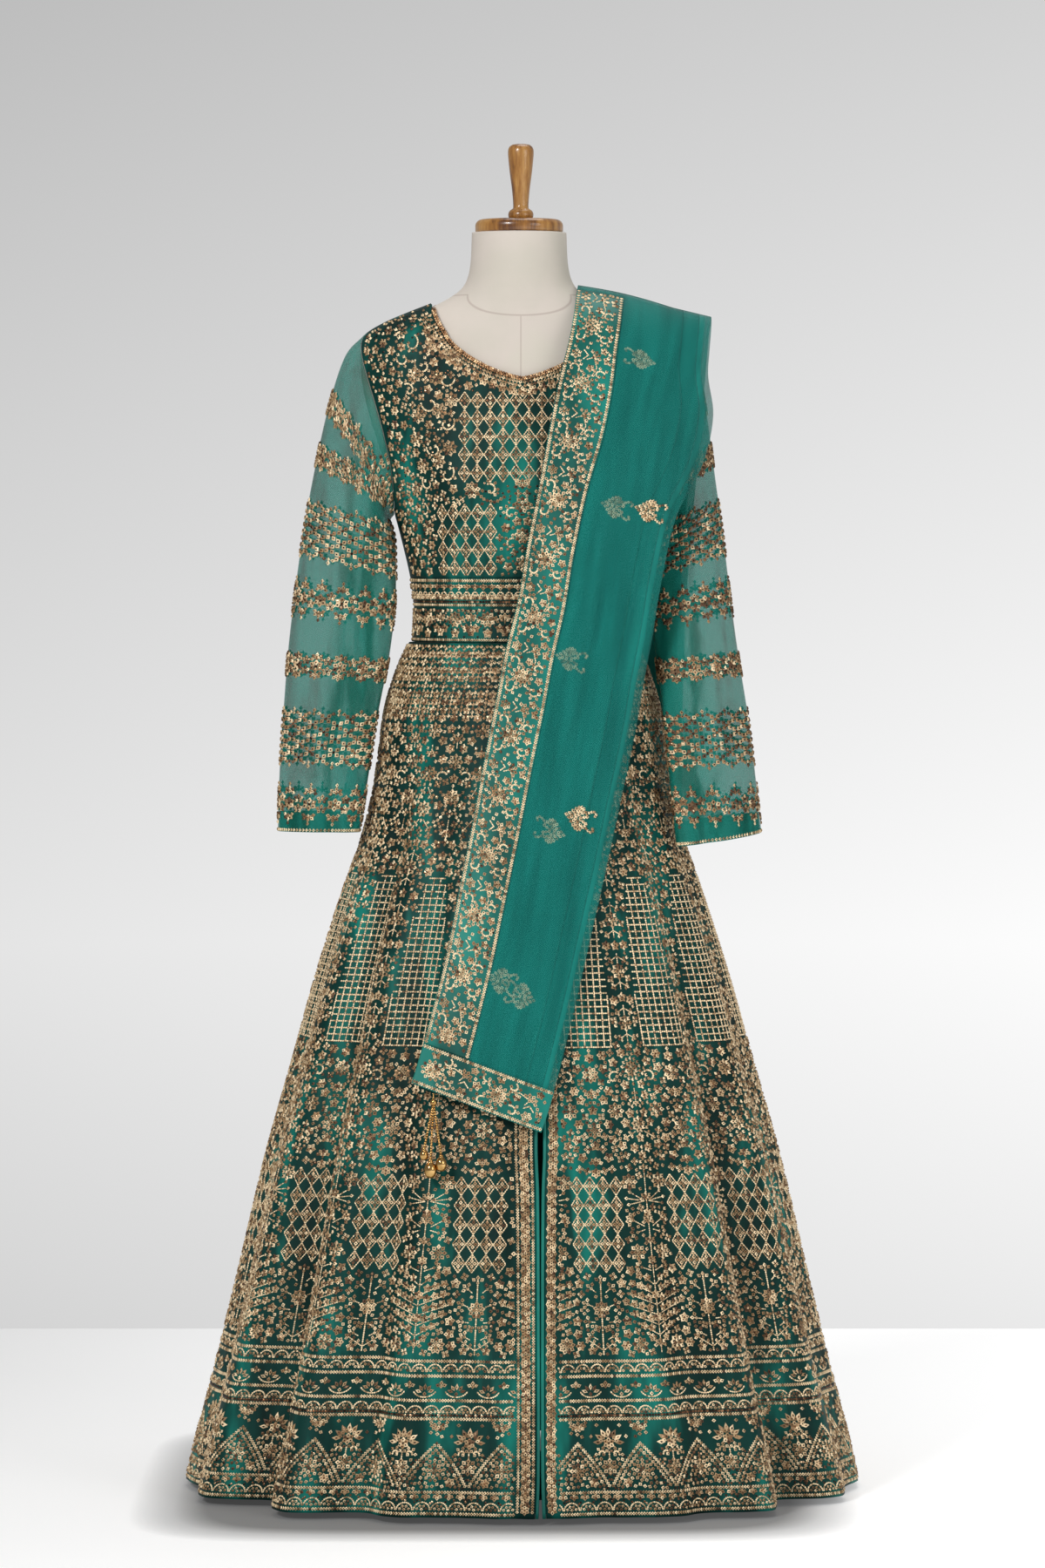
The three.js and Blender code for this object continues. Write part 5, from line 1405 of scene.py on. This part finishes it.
# the cloth curves back beside the neck, so places there lie a little further round than they look
ROUND_NECK = 1.03
# two rows of loops along the neckline, and a wreath of flowers under them
for inset in (2.4, 6.6):
    chest.loops((neck_line + inward * inset) * (ROUND_NECK, 1), pitch=4.2)
wreath = neck_line + inward * 13.8
along = lengths_along(wreath[:, None], 0)[:, 0]
chest.flower(0, wreath[0, 1], 1.05, 6, math.pi / 2)
for at in np.arange(9.5, along[-1], 11.6):
    x, z = np.interp(at, along, wreath[:, 0]), np.interp(at, along, wreath[:, 1])
    chest.flower(x * ROUND_NECK, z, 1.05, 6, at)
lattice_top = [1309 - 21.6 * j for j in range(5)]
on_bust = lambda x, z: x < 80 - 0.004 * (z - 1262) ** 2 and z < 1322
chest.lattice([7.7 + 15.4 * i for i in range(5)], lattice_top, keep=on_bust)
lattice_low = [1177 - 21.9 * j for j in range(4)]
chest.lattice([38 + 15.4 * i for i in range(5)], lattice_low, (15.4, 21.9))
chest.rosette(0, 1186, 9)
chest.fan(0, 1206, UP, 7, 8, 3.0)
chest.curl(14, 1176, 7.5, 2.2, -1)
chest.rosette(0, 1150, 9)
chest.curl(13, 1140, 7.5, 2.0, -1)
chest.rosette(0, 1117, 8)
chest.loops([(20, 1196), (32, 1189), (45, 1192), (54, 1200)])
chest.curl(38, 1203, 8, 1.0, 1)
chest.rosette(60, 1203, 9)
chest.sprig(68, 1196, -0.6, 16, 3)
for x, z, size, turn, hand in ((92, 1222, 11, 2.4, 1), (108, 1252, 11, 0.2, -1), (92, 1282, 11, 2.6, 1),
                               (112, 1306, 12, 0.1, -1), (92, 1335, 11, 3.0, 1), (120, 1352, 12, 0.6, -1),
                               (140, 1322, 9, 1.0, 1), (120, 1212, 10, 0.8, -1), (136, 1378, 11, 2.0, 1),
                               (108, 1388, 10, 0.4, -1), (128, 1180, 9, 1.2, 1), (146, 1360, 9, 0.2, -1)):
    chest.curl(x, z, size, turn, hand)
for x, z in ((103, 1237), (88, 1252), (100, 1297), (86, 1310), (104, 1337), (84, 1362), (112, 1372),
             (132, 1340), (128, 1292), (132, 1264), (126, 1232), (140, 1205), (150, 1392), (118, 1405),
             (122, 1160)):
    chest.rosette(x, z, 8, rng.uniform(0, 3))
off_lattice = lambda x, z: not (
    (x < 84 and 1212 < z < 1320 and on_bust(max(x - 9, 0), z)) or (29 < x < 108 and 1101 < z < 1187)
)
chest.fill(1102, 1446, off_lattice, flowers=0.75, loops=0.5, crumbs=0.1, gap=0.45)
print("stitches on half the front:", len(chest.rows))

# %% Drawing the waistband, as rows of short repeats
BAND_HALF = 21.0
band = Pattern(BAND_HALF)
band.chain_across(1096.2)
for x in (5.25, 15.75):
    band.fan(x, 1090.5, DOWN, 3, 3.4, 2.4)
band.arches(1073, 2, 9.5)
band.line([(0, 1070.5), (BAND_HALF, 1070.5)], kind=SEQUIN, pitch=3.4, length=3.8, cross=3.4)
band.chain_across(1066.5, cross=3.6)
band.rosette(0, 1049, 9)
band.sprig(6, 1047, 0.35, 11, 2)
band.flower(15, 1038, 0.95)
band.flower(0, 1033, 0.85, far=True)
band.sprig(0, 1044, UP, 9, 1, far=True)
band.chain_across(1023.6)
band.fill(1026, 1063, flowers=0.5, loops=0.45, crumbs=0.5)
for front, ground in ((True, front_ground), (False, back_ground)):
    test, outline = outline_test(ground, front)
    work = Needlework("embroidery_bodice_front" if front else "embroidery_bodice_back")
    if front:
        design = chest.table()
    else:
        behind = Pattern(REACH)
        behind.lattice([7.7 + 15.4 * i for i in range(7)], [1300 - 21.6 * j for j in range(9)],
                       keep=lambda x, z: x < 100 - 0.0035 * (z - 1210) ** 2)
        behind.loops([(x, float(np.interp(x, *outline)) - 7) for x in np.linspace(2, 100, 30)])
        past_lattice = lambda x, z: x > 112 - 0.0035 * (z - 1210) ** 2 or z > 1318
        behind.fill(1104, 1440, past_lattice, flowers=0.65, loops=0.5, crumbs=0.0)
        design = behind.table()
    above_belt = lambda u, v, test=test: test(u, v) & (v > WAISTBAND_TOP_Z + 3)
    work.lay(ground, design, lambda s, share: s * share * REACH, above_belt)
    work.make()
    belt = Needlework("embroidery_waistband_front" if front else "embroidery_waistband_back")
    for k in range(-5, 6):
        place = lambda s, share, k=k: k * 2 * BAND_HALF + s * share * BAND_HALF
        belt.lay(ground, band.table(), place, test)
    belt.make()

# %% [markdown]
# The sleeves stay mostly bare. Bands of flowers run round them. In two of the bands the flowers stand in
# staggered rows, with small open diamonds between them. A chain of gold edges each wrist over the satin cuff.

# %% The sleeves' bands
SLEEVE_STEP, SLEEVE_WRAP = 22.0, 8
# painted shade: the thread on the sleeves is darkened, the left sleeve's far more, as it faces away from the key
# lamp
SLEEVE_SHADE_TONE = {"right": -0.05, "left": -0.25}
# height on the outer side, drop towards the body, style
sleeve_bands = [
    (1311, 118, "flowers"), (1247, 56, "flowers"), (1159, 28, "diamonds"), (1076, 17, "sprays"),
    (995, 8, "flowers"), (908, 5, "diamonds"), (828, 3, "sprays"),
]


def sleeve_band(style):
    motif = Pattern(SLEEVE_STEP / 2)
    if style == "diamonds":
        # flowers in staggered rows touch at their petals and leave small open diamonds
        for y in (-16, 0, 16):
            motif.flower(0, y, 1.22, 4, math.pi / 4)
        for y in (-24, -8, 8, 24):
            motif.flower(0, y, 1.22, 4, math.pi / 4, far=True)
        motif.fan(0, 29, UP, 3, 4.6, 2.8)
        motif.fan(0, -29, DOWN, 3, 4.6, 2.8)
    else:
        reach = 14.0 if style == "flowers" else 19.0
        motif.flower(0, 0, 1.3, 6)
        motif.fan(0, reach - 5, UP, 5, 4.8, 3.6)
        motif.fan(0, 5 - reach, DOWN, 5, 4.8, 3.6)
        for y in (6.5, -5.5):
            motif.flower(0, y, 0.95, 5, far=True)
        if style == "sprays":
            motif.add(PETAL, 0, reach + 4.5, UP, 5.2, 4.2)
            motif.add(PETAL, 0, -reach - 4.5, DOWN, 5.2, 4.2)
    return motif.table()


for name, grid in sleeve_grids.items():
    # the ground overlaps itself, so stitches can cross the place where the ring closes
    wrapped = np.concatenate([grid[:, -1 - SLEEVE_WRAP:-1], grid, grid[:, 1:1 + SLEEVE_WRAP]], 1)
    spare = SLEEVE_WRAP / (SLEEVE_COLUMNS - 1)
    ground = Ground(wrapped, (-spare, 1 + spare), (0, len(grid) - 1), grid.mean(1, keepdims=True))
    girth = lengths_along(grid, 1)[:, -1]
    work = Needlework(f"embroidery_sleeve_{name}")
    row_numbers = np.arange(len(grid))

    def row_at(u, z):
        """The row of the grid that reaches height z in column u."""
        nearest = np.rint(np.asarray(u) % 1 * (SLEEVE_COLUMNS - 1)).astype(int)
        return np.array([np.interp(zi, grid[:, c, 2], row_numbers, right=1e4) for zi, c in zip(z, nearest)])

    for outer, drop, style in sleeve_bands:
        mean_row = float(row_at([0.25], [outer - drop / 2])[0])
        count = int(round(np.interp(mean_row, row_numbers, girth) / SLEEVE_STEP))
        kind, side, share, y, turn, length, width = sleeve_band(style).T
        for k in range(count):
            u = (k + 0.5 + side * share * 0.5) / count
            v = row_at(u, outer - drop * (1 - np.cos(2 * math.pi * u)) / 2 + y)
            on_sleeve = v < len(grid) - 1.6
            work.sew_rows(ground, kind, u, v, turn, length, width, on_sleeve, tone=SLEEVE_SHADE_TONE[name])
    count = int(girth[0] / 3.3)
    u = (np.arange(count) + 0.5) / count
    work.sew(ground, LINK, u, np.full(count, 0.42), np.zeros(count), np.full(count, 3.9), np.full(count, 4.4))
    work.make()

# %% [markdown]
# The scarf's broad border is worked on a strip of satin. Chain lines edge it, and between them runs a scroll
# with large flowers. The same border closes the foot, and small sprays are scattered over the plain sheer field.

# %% The scarf's border strips
SIDE_SHARE, BORDER_START = 0.345, {"front": 0.951, "back": 0.957}
SCROLL_LONG, SCROLL_WIDE = 75.0, 55.0
STRIP_LIFT, STRIP_MARGIN = 0.9, 6.5
# a pattern that isn't mirrored is drawn on a field far wider than its motifs
FIELD_WIDE = 1000.0


def flat_rows(pattern):
    """The stitches of a pattern that isn't mirrored: kind, x and y in mm, turn, length, width."""
    rows = np.array(pattern.rows)
    rows[:, 1] *= FIELD_WIDE
    return rows


def border_repeat():
    """Two lengths of the scroll, one after the other, from the neck edge's chain line."""
    scroll = Pattern(FIELD_WIDE)
    for y in (0.0, SCROLL_LONG):
        scroll.rosette(25, y + 18, 10)
        scroll.ring(25, y + 18, 11.6, 12)
        scroll.curl(12, y + 36, 7.5, -0.6, 1)
        scroll.curl(11, y + 2, 7.0, 0.4, -1)
        scroll.curl(42, y + 31, 6.5, 0.4, 1)
        scroll.flower(46, y + 17, 0.9, 5, 1.0)
        scroll.curl(41, y + 3, 6.5, -0.6, -1)
        scroll.flower(31, y + 38, 0.85, 5, 0.9)
        scroll.ring(12, y + 54, 4.4, 6)
        scroll.add(PETAL, 12, y + 54, 0, 4.6, 4.6)
        scroll.line([(20, y + 60), (26, y + 54), (21, y + 48)], width=2.0)
        scroll.fan(32, y + 52, 0.5, 5, 7.5, 2.6, stem=8)
        scroll.flower(44, y + 62, 0.85, 5, 0.1)
        scroll.line([(34, y + 28), (38, y + 40), (34, y + 50)])
    return scroll


def ground_in_mm(grid):
    """A ground for stitches in mm, with its width and its length."""
    wide, long = lengths_along(grid, 1)[:, -1].mean(), lengths_along(grid, 0)[-1].mean()
    return Ground(grid, (0, wide), (0, long)), wide, long


def side_rows(wide, long):
    """The scroll along the side border, one copy after the other, and the chain lines that edge it."""
    lines = Pattern(FIELD_WIDE)
    for x in (2.6, wide - 2.6):
        lines.chain([(x, 1), (x, long - 1)], cross=4.8)
    scroll = border_repeat()
    scroll.fill(0, SCROLL_LONG, lambda x, y: 7 < x < wide - 7, **BORDER_FILL)
    base = flat_rows(scroll)
    base = base[(base[:, 2] >= 0) & (base[:, 2] < SCROLL_LONG)]
    copies = range(int(long // SCROLL_LONG) + 1)
    return flat_rows(lines), np.vstack([base + (0, 0, SCROLL_LONG * k, 0, 0, 0) for k in copies])


def end_rows(wide, long):
    """The scroll turned across the foot, stretched to its width, and the chain lines that edge it."""
    lines = Pattern(FIELD_WIDE)
    for y in (3.0, long - 2.6):
        lines.chain([(1, y), (wide - 1, y)], cross=4.8)
    scroll = border_repeat()
    scroll.fill(0, 2 * SCROLL_LONG, lambda x, y: 7 < x < long - 7, **BORDER_FILL)
    rows = flat_rows(scroll)
    rows[:, [1, 2]] = rows[:, [2, 1]]
    rows[:, 1] *= wide / (2 * SCROLL_LONG)
    rows[:, 2] *= long / SCROLL_WIDE
    rows[:, 3] = math.pi / 2 - rows[:, 3]
    return flat_rows(lines), rows


BORDER_FILL = {"flowers": 0.6, "loops": 0.6, "crumbs": 0.0, "gap": 0.3}
for fall, start in BORDER_START.items():
    spans = {
        "side": (np.linspace(start - 0.0006, 0.006, 200), np.linspace(0, SIDE_SHARE, 30), side_rows, 2.0),
        "end": (np.linspace(1, start, 26), np.linspace(0, 1, 70), end_rows, STRIP_MARGIN),
    }
    for where, (down, across, draw, top_margin) in spans.items():
        lift = (0, -STRIP_LIFT if fall == "front" else STRIP_LIFT, 0)
        grid = scarf_point(across[None, :], down[:, None], fall) + lift
        strip = cloth_piece(f"scarf_{where}_border_{fall}_strip", grid, border_satin, thick=0.5)
        stand_in(f"scarf_{where}_border_{fall}")
        ground, wide, long = ground_in_mm(grid)
        marks, rows = draw(wide, long)
        x, y = rows[:, 1], rows[:, 2]
        inside = (x > STRIP_MARGIN) & (x < wide - STRIP_MARGIN) & (y > STRIP_MARGIN) & (y < long - top_margin)
        work = Needlework(f"embroidery_scarf_{where}_{fall}")
        for table in (marks, rows[inside]):
            work.sew_rows(ground, *table.T, tone=0.1)
        work.make("border")
        print("border", fall, where, round(wide), "x", round(long), "mm")

# %% [markdown]
# A few leaf-shaped sprays lie on the plain field. Some are sewn on the top layer and shine gold. Others are on a
# layer below, so they show pale through the sheer cloth: they are the same spray, pressed flat between two layers.

# %% The sprays on the scarf
# across, height, and 1 when its tip points to the border or -1 when it points away
SPRAY_GOLD = [(151, 1175, 1), (65, 812, 1)]
SPRAY_PALE = [(141, 1358, -1), (108, 1180, 1), (57, 1002, 1), (33, 801, -1), (-26, 624, 1), (0, 609, -1)]
SPRAY_MIDDLE = 500
spray = Pattern(FIELD_WIDE)
# a leaf that lies on its side: rings of petals that come to a tip, and two curls at its foot
for size, count in ((1.15, 17), (0.78, 12), (0.38, 6)):
    for t in np.linspace(-0.92, 0.92, count):
        x = size * (24 * abs(t) ** 0.9 - 13)
        y = size * 11 * math.sin(math.pi * abs(t) ** 1.25) * (1 if t > 0 else -1)
        spray.add(PETAL, 499 + x, y, math.atan2(y, x), 5.6, 4.6)
for hand in (1, -1):
    curl_path = [(508, 5), (512, 10), (517, 12), (521, 9), (518, 6)]
    spray.loops([(x, y * hand) for x, y in curl_path], pitch=3.8, cross=4)
kind, along_x, along_y, turn, length, width = flat_rows(spray).T
# name, places, how far behind the face, height of the waves, how far the stitches stand up
SPRAYS = [("gold", SPRAY_GOLD, 0.7, 0.9, 1.0), ("pale", SPRAY_PALE, 1.32, 0.85, 0.2)]
for which, places, behind, waves, rise in SPRAYS:
    grid = scarf_layer("front", 0.97, behind, waves)
    ground, wide, long = ground_in_mm(grid)
    work = Needlework(f"embroidery_scarf_sprays_{which}")
    for x, z, hand in places:
        off = np.hypot(grid[..., 0] - x, grid[..., 2] - z)
        row, column = np.unravel_index(np.argmin(off), off.shape)
        u = column / (grid.shape[1] - 1) * wide + hand * (along_x - SPRAY_MIDDLE)
        v = row / (grid.shape[0] - 1) * long + along_y
        lean = turn if hand > 0 else math.pi - turn
        work.sew_rows(ground, kind, u, v, lean, length, width, tone=0.25, rise=rise)
    work.make("border")

# %% [markdown]
# Copper beads are threaded close together round the neck opening. Their path is worked out just as the frame's
# cord is, a little past the panels' edges. The tassel hangs from the scarf's corner: three strings of gilt beads,
# each with a pear-shaped bell that is one profile spun round its axis.

# %% The beads round the neck
NECK_BINDING_R, BEAD_PITCH, INNER_ROW = 2.1, 3.4, 0.25


def bead_string(path, radius, pitch):
    """The points and faces of small spheres threaded along a path."""
    bm = bmesh.new()
    bmesh.ops.create_icosphere(bm, subdivisions=1, radius=1)
    bm.verts.ensure_lookup_table()
    ball = np.array([v.co for v in bm.verts])
    sides = np.array([[v.index for v in f.verts] for f in bm.faces])
    bm.free()
    along = lengths_along(path[:, None], 0)[:, 0]
    count = int(along[-1] / pitch)
    at = (np.arange(count) + 0.5) / count * along[-1]
    middle = np.stack([np.interp(at, along, path[:, k]) for k in range(3)], -1)
    size = radius * rng.uniform(0.92, 1.06, (count, 1, 1))
    points = (middle[:, None] + ball[None] * size).reshape(-1, 3)
    return points, np.concatenate([sides + i * len(ball) for i in range(count)])


def joined_beads(name, strings, material):
    """One mesh from the points and faces of several strings."""
    counts = np.cumsum([0] + [len(points) for points, faces in strings])
    points = np.vstack([points for points, faces in strings]) * MM
    faces = np.vstack([faces + start for (_, faces), start in zip(strings, counts)])
    mesh = bpy.data.meshes.new(name)
    mesh.from_pydata(points.tolist(), [], faces.tolist())
    mesh.polygons.foreach_set("use_smooth", [True] * len(faces))
    thing = new_object(name, mesh, material)
    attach(thing, "root")
    return thing


edges = []
for name in ("bodice_front", "bodice_back"):
    top = grids[name][-1]
    edges.append(top[abs(top[:, 0] - curve(FORM, 4, top[:, 2])) < neck_share * tip_x + 0.5])
# both edges run from the wearer's right to the left, so the back one is turned round to close the loop
neck_loop = np.vstack([edges[0], edges[1][-2:0:-1]])
ahead = np.roll(neck_loop, -1, 0) - np.roll(neck_loop, 1, 0)
neck_x, neck_y, neck_z = neck_loop.T
depth = np.where(neck_y < 0, curve(FORM, 2, neck_z), curve(FORM, 3, neck_z))
turn = np.arctan2((neck_x - curve(FORM, 4, neck_z)) / curve(FORM, 1, neck_z), -neck_y / depth)
out = off_form(turn, neck_z, 1.0) - form_point(turn, neck_z)
past = np.cross(out, ahead)
past /= np.linalg.norm(past, axis=1, keepdims=True)
bead_path = neck_loop - out * CLOTH / 2 + past * (NECK_BINDING_R + 1.2) + out * 0.4
bead_path = np.vstack([bead_path, bead_path[:1]])
low, high = (np.array(corner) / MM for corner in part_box("neck_binding"))
print("bead path in the frame's cord:", (bead_path.min(0) - low).round(1), (high - bead_path.max(0)).round(1))
panel_path = np.vstack([neck_loop, neck_loop[:1]])
inner_path = panel_path + (bead_path - panel_path) * INNER_ROW
strings = [bead_string(bead_path, NECK_BINDING_R, BEAD_PITCH), bead_string(inner_path, 1.9, 3.1)]
beads = joined_beads("neck_beads", strings, copper)
stand_in("neck_binding")

# %% The tassel
TASSEL_ACROSS, TASSEL_DROP, KNOT_R, STRING_R = 0.17, 13, 4.2, 1.9
# across, towards the viewer, length, bell radius, bell height
TASSEL_STRINGS = [(-3.5, -11, 68, 7.4, 20), (9, -12, 62, 6.6, 18), (-11, -9, 54, 5.2, 13)]
BELL = [(-1, 0), (-0.94, 0.55), (-0.7, 0.92), (-0.46, 1), (-0.22, 0.8), (-0.06, 0.42), (0.12, 0.34), (0.16, 0)]
knot = scarf_point(TASSEL_ACROSS, 1.0, "front") + (0, -SEAM_GAP, -TASSEL_DROP)
strings = [bead_string(np.array([knot, knot + (0, 0, TASSEL_DROP - 1.5)]), 1.3, 2.2)]
for dx, dy, long, *_ in TASSEL_STRINGS:
    foot = knot + np.array([dx, dy, -long])
    middle = knot + np.array([dx * 0.45, dy * 0.5, -long * 0.45])
    t = np.linspace(0, 1, 24)[:, None]
    path = (1 - t) * (1 - 2 * t) * knot + 4 * t * (1 - t) * middle + t * (2 * t - 1) * foot
    strings.append(bead_string(path, STRING_R, 3.0))
tassel_beads = joined_beads("tassel_beads", strings, gold)
stand_in("tassel")
# shares of the bell's height, from its foot to the neck that the string enters
bell_z = -1 + np.linspace(0, 1, 26) * 1.16
bell_radius = np.clip(curve(BELL, 1, bell_z), 0, 2)
for number, (dx, dy, long, bell_r, bell_tall) in enumerate(TASSEL_STRINGS, 1):
    foot = knot + np.array([dx, dy, -long])
    profile = [(float(r) * bell_r, float(z) * bell_tall) for r, z in zip(bell_radius, bell_z)]
    bell = turned(f"bell_{number}", profile, 0, gold, 24)
    bell.data.transform(Matrix.Translation(Vector(foot * MM)))
bm = bmesh.new()
bmesh.ops.create_uvsphere(bm, u_segments=20, v_segments=14, radius=KNOT_R * MM)
bmesh.ops.translate(bm, vec=Vector(knot * MM), verts=bm.verts)
for face in bm.faces:
    face.smooth = True
knot_ball = new_object("tassel_knot", mesh_from(bm, "tassel_knot"), gold)
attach(knot_ball, "root")
print("tassel", len(tassel_beads.data.polygons), "bead faces")

# %% [markdown]
# The stage is a pale floor under a bright, soft sky, with a painted shadow under the hem and a painted glow. A
# large lamp stands before the gown on its right, a weaker one fills from the left, and one high lamp rims the
# shoulders. The camera looks slightly down, from far enough away that the gown keeps its proportions.

# %% Floor, sky and lamps
FLOOR_HALF, FLOOR_BEHIND, FLOOR_BEFORE, FLOOR_DROP = 3.2, 1.35, 9, 0.0005
floor_deep = (FLOOR_BEHIND + FLOOR_BEFORE) / 2
bm = bmesh.new()
bmesh.ops.create_grid(bm, x_segments=1, y_segments=1, size=1)
bmesh.ops.scale(bm, vec=(FLOOR_HALF, floor_deep, 1), verts=bm.verts)
bmesh.ops.translate(bm, vec=(0, FLOOR_BEHIND - floor_deep, -FLOOR_DROP), verts=bm.verts)
floor_paint, tree, shader = new_material("floor_paint", (0.85, 0.85, 0.85), rough=0.6, Specular_IOR_Level=0.2)
# a painted shadow of the gown lies soft and wide under its hem, in the floor's colour and its glow; past it the
# floor has a painted glow, a little stronger on the right
SHADOW_X, SHADOW_R, SHADOW_SQUARE = -0.03, 0.36, 6.0
spot = add_node(tree, "ShaderNodeSeparateXYZ", {0: object_place(tree)})
away = []
for off in (plus(tree, spot.outputs[0], -SHADOW_X), spot.outputs[1]):
    share = math_node(tree, "ABSOLUTE", math_node(tree, "DIVIDE", off, SHADOW_R))
    away.append(math_node(tree, "POWER", share, SHADOW_SQUARE))
shadow_stops = (0.08, (0.2,) * 3), (0.15, (0.5,) * 3), (0.32, (0.9,) * 3)
shade = ramp(tree, times(tree, plus(tree, *away), 0.1), *shadow_stops)
glow = plus(tree, times(tree, spot.outputs[0], 0.28), 0.35)
tree.links.new(shade, shader.inputs["Base Color"])
tree.links.new(shade, shader.inputs["Emission Color"])
tree.links.new(glow, shader.inputs["Emission Strength"])
floor = new_object("floor", mesh_from(bm, "floor"), floor_paint)

world = bpy.data.worlds.new("soft_sky")
bpy.context.scene.world = world
world.use_nodes = True
tree = world.node_tree
direction = add_node(tree, "ShaderNodeTexCoord").outputs["Generated"]
axes = add_node(tree, "ShaderNodeSeparateXYZ", {0: direction})
# a plain gradient: brightest a little below the horizon, falling off both ways
SKY = [(0.36, 0.73), (0.43, 0.88), (0.6, 0.56)]
sky = ramp(tree, plus(tree, axes.outputs[2], 0.5), *[(at, (bright,) * 3) for at, bright in SKY])
tree.links.new(sky, tree.nodes["Background"].inputs["Color"])
# the wall is brighter on the right, and lights the gown less than the camera sees of it
WALL_LIGHT, WALL_SLOPE, WALL_EVEN_PAST = 0.6, 1.25, 0.12
sideways = math_node(tree, "MINIMUM", axes.outputs[0], WALL_EVEN_PAST)
sideways = math_node(tree, "MAXIMUM", sideways, -WALL_EVEN_PAST)
seen = add_node(tree, "ShaderNodeLightPath").outputs["Is Camera Ray"]
strength = plus(tree, times(tree, seen, 1 - WALL_LIGHT), WALL_LIGHT)
uneven = plus(tree, times(tree, sideways, WALL_SLOPE), 1.0)
tree.links.new(times(tree, strength, uneven), tree.nodes["Background"].inputs["Strength"])


def lamp(name, place, target, size, power):
    light = bpy.data.lights.new(name, "AREA")
    light.shape, light.size, light.energy = "DISK", size, power
    thing = bpy.data.objects.new(name, light)
    thing.location = place
    thing.rotation_euler = (Vector(target) - Vector(place)).to_track_quat("-Z", "Y").to_euler()
    bpy.context.scene.collection.objects.link(thing)


lamp("key", (-2.6, -4.2, 3.6), (0, 0, 0.8), 1.3, 168)
lamp("fill", (3.4, -3.6, 2.2), (0, 0, 0.8), 2.6, 42)
lamp("high", (0.3, 0.6, 4.2), (0, 0, 1.0), 2.4, 45)

# %% The camera
CAMERA_AWAY, CAMERA_HIGH, CAMERA_TILT, LENS = 7.0, 1.15, math.radians(2.466), 132.8
camera = bpy.data.cameras.new("camera")
camera.lens, camera.sensor_width, camera.sensor_fit = LENS, 36, "AUTO"
camera.clip_end = 100
viewer = bpy.data.objects.new("camera", camera)
viewer.location = (0, -CAMERA_AWAY, CAMERA_HIGH)
viewer.rotation_euler = (math.pi / 2 - CAMERA_TILT, 0, 0)
bpy.context.scene.collection.objects.link(viewer)
bpy.context.scene.camera = viewer
bpy.context.scene.view_settings.view_transform = "Standard"
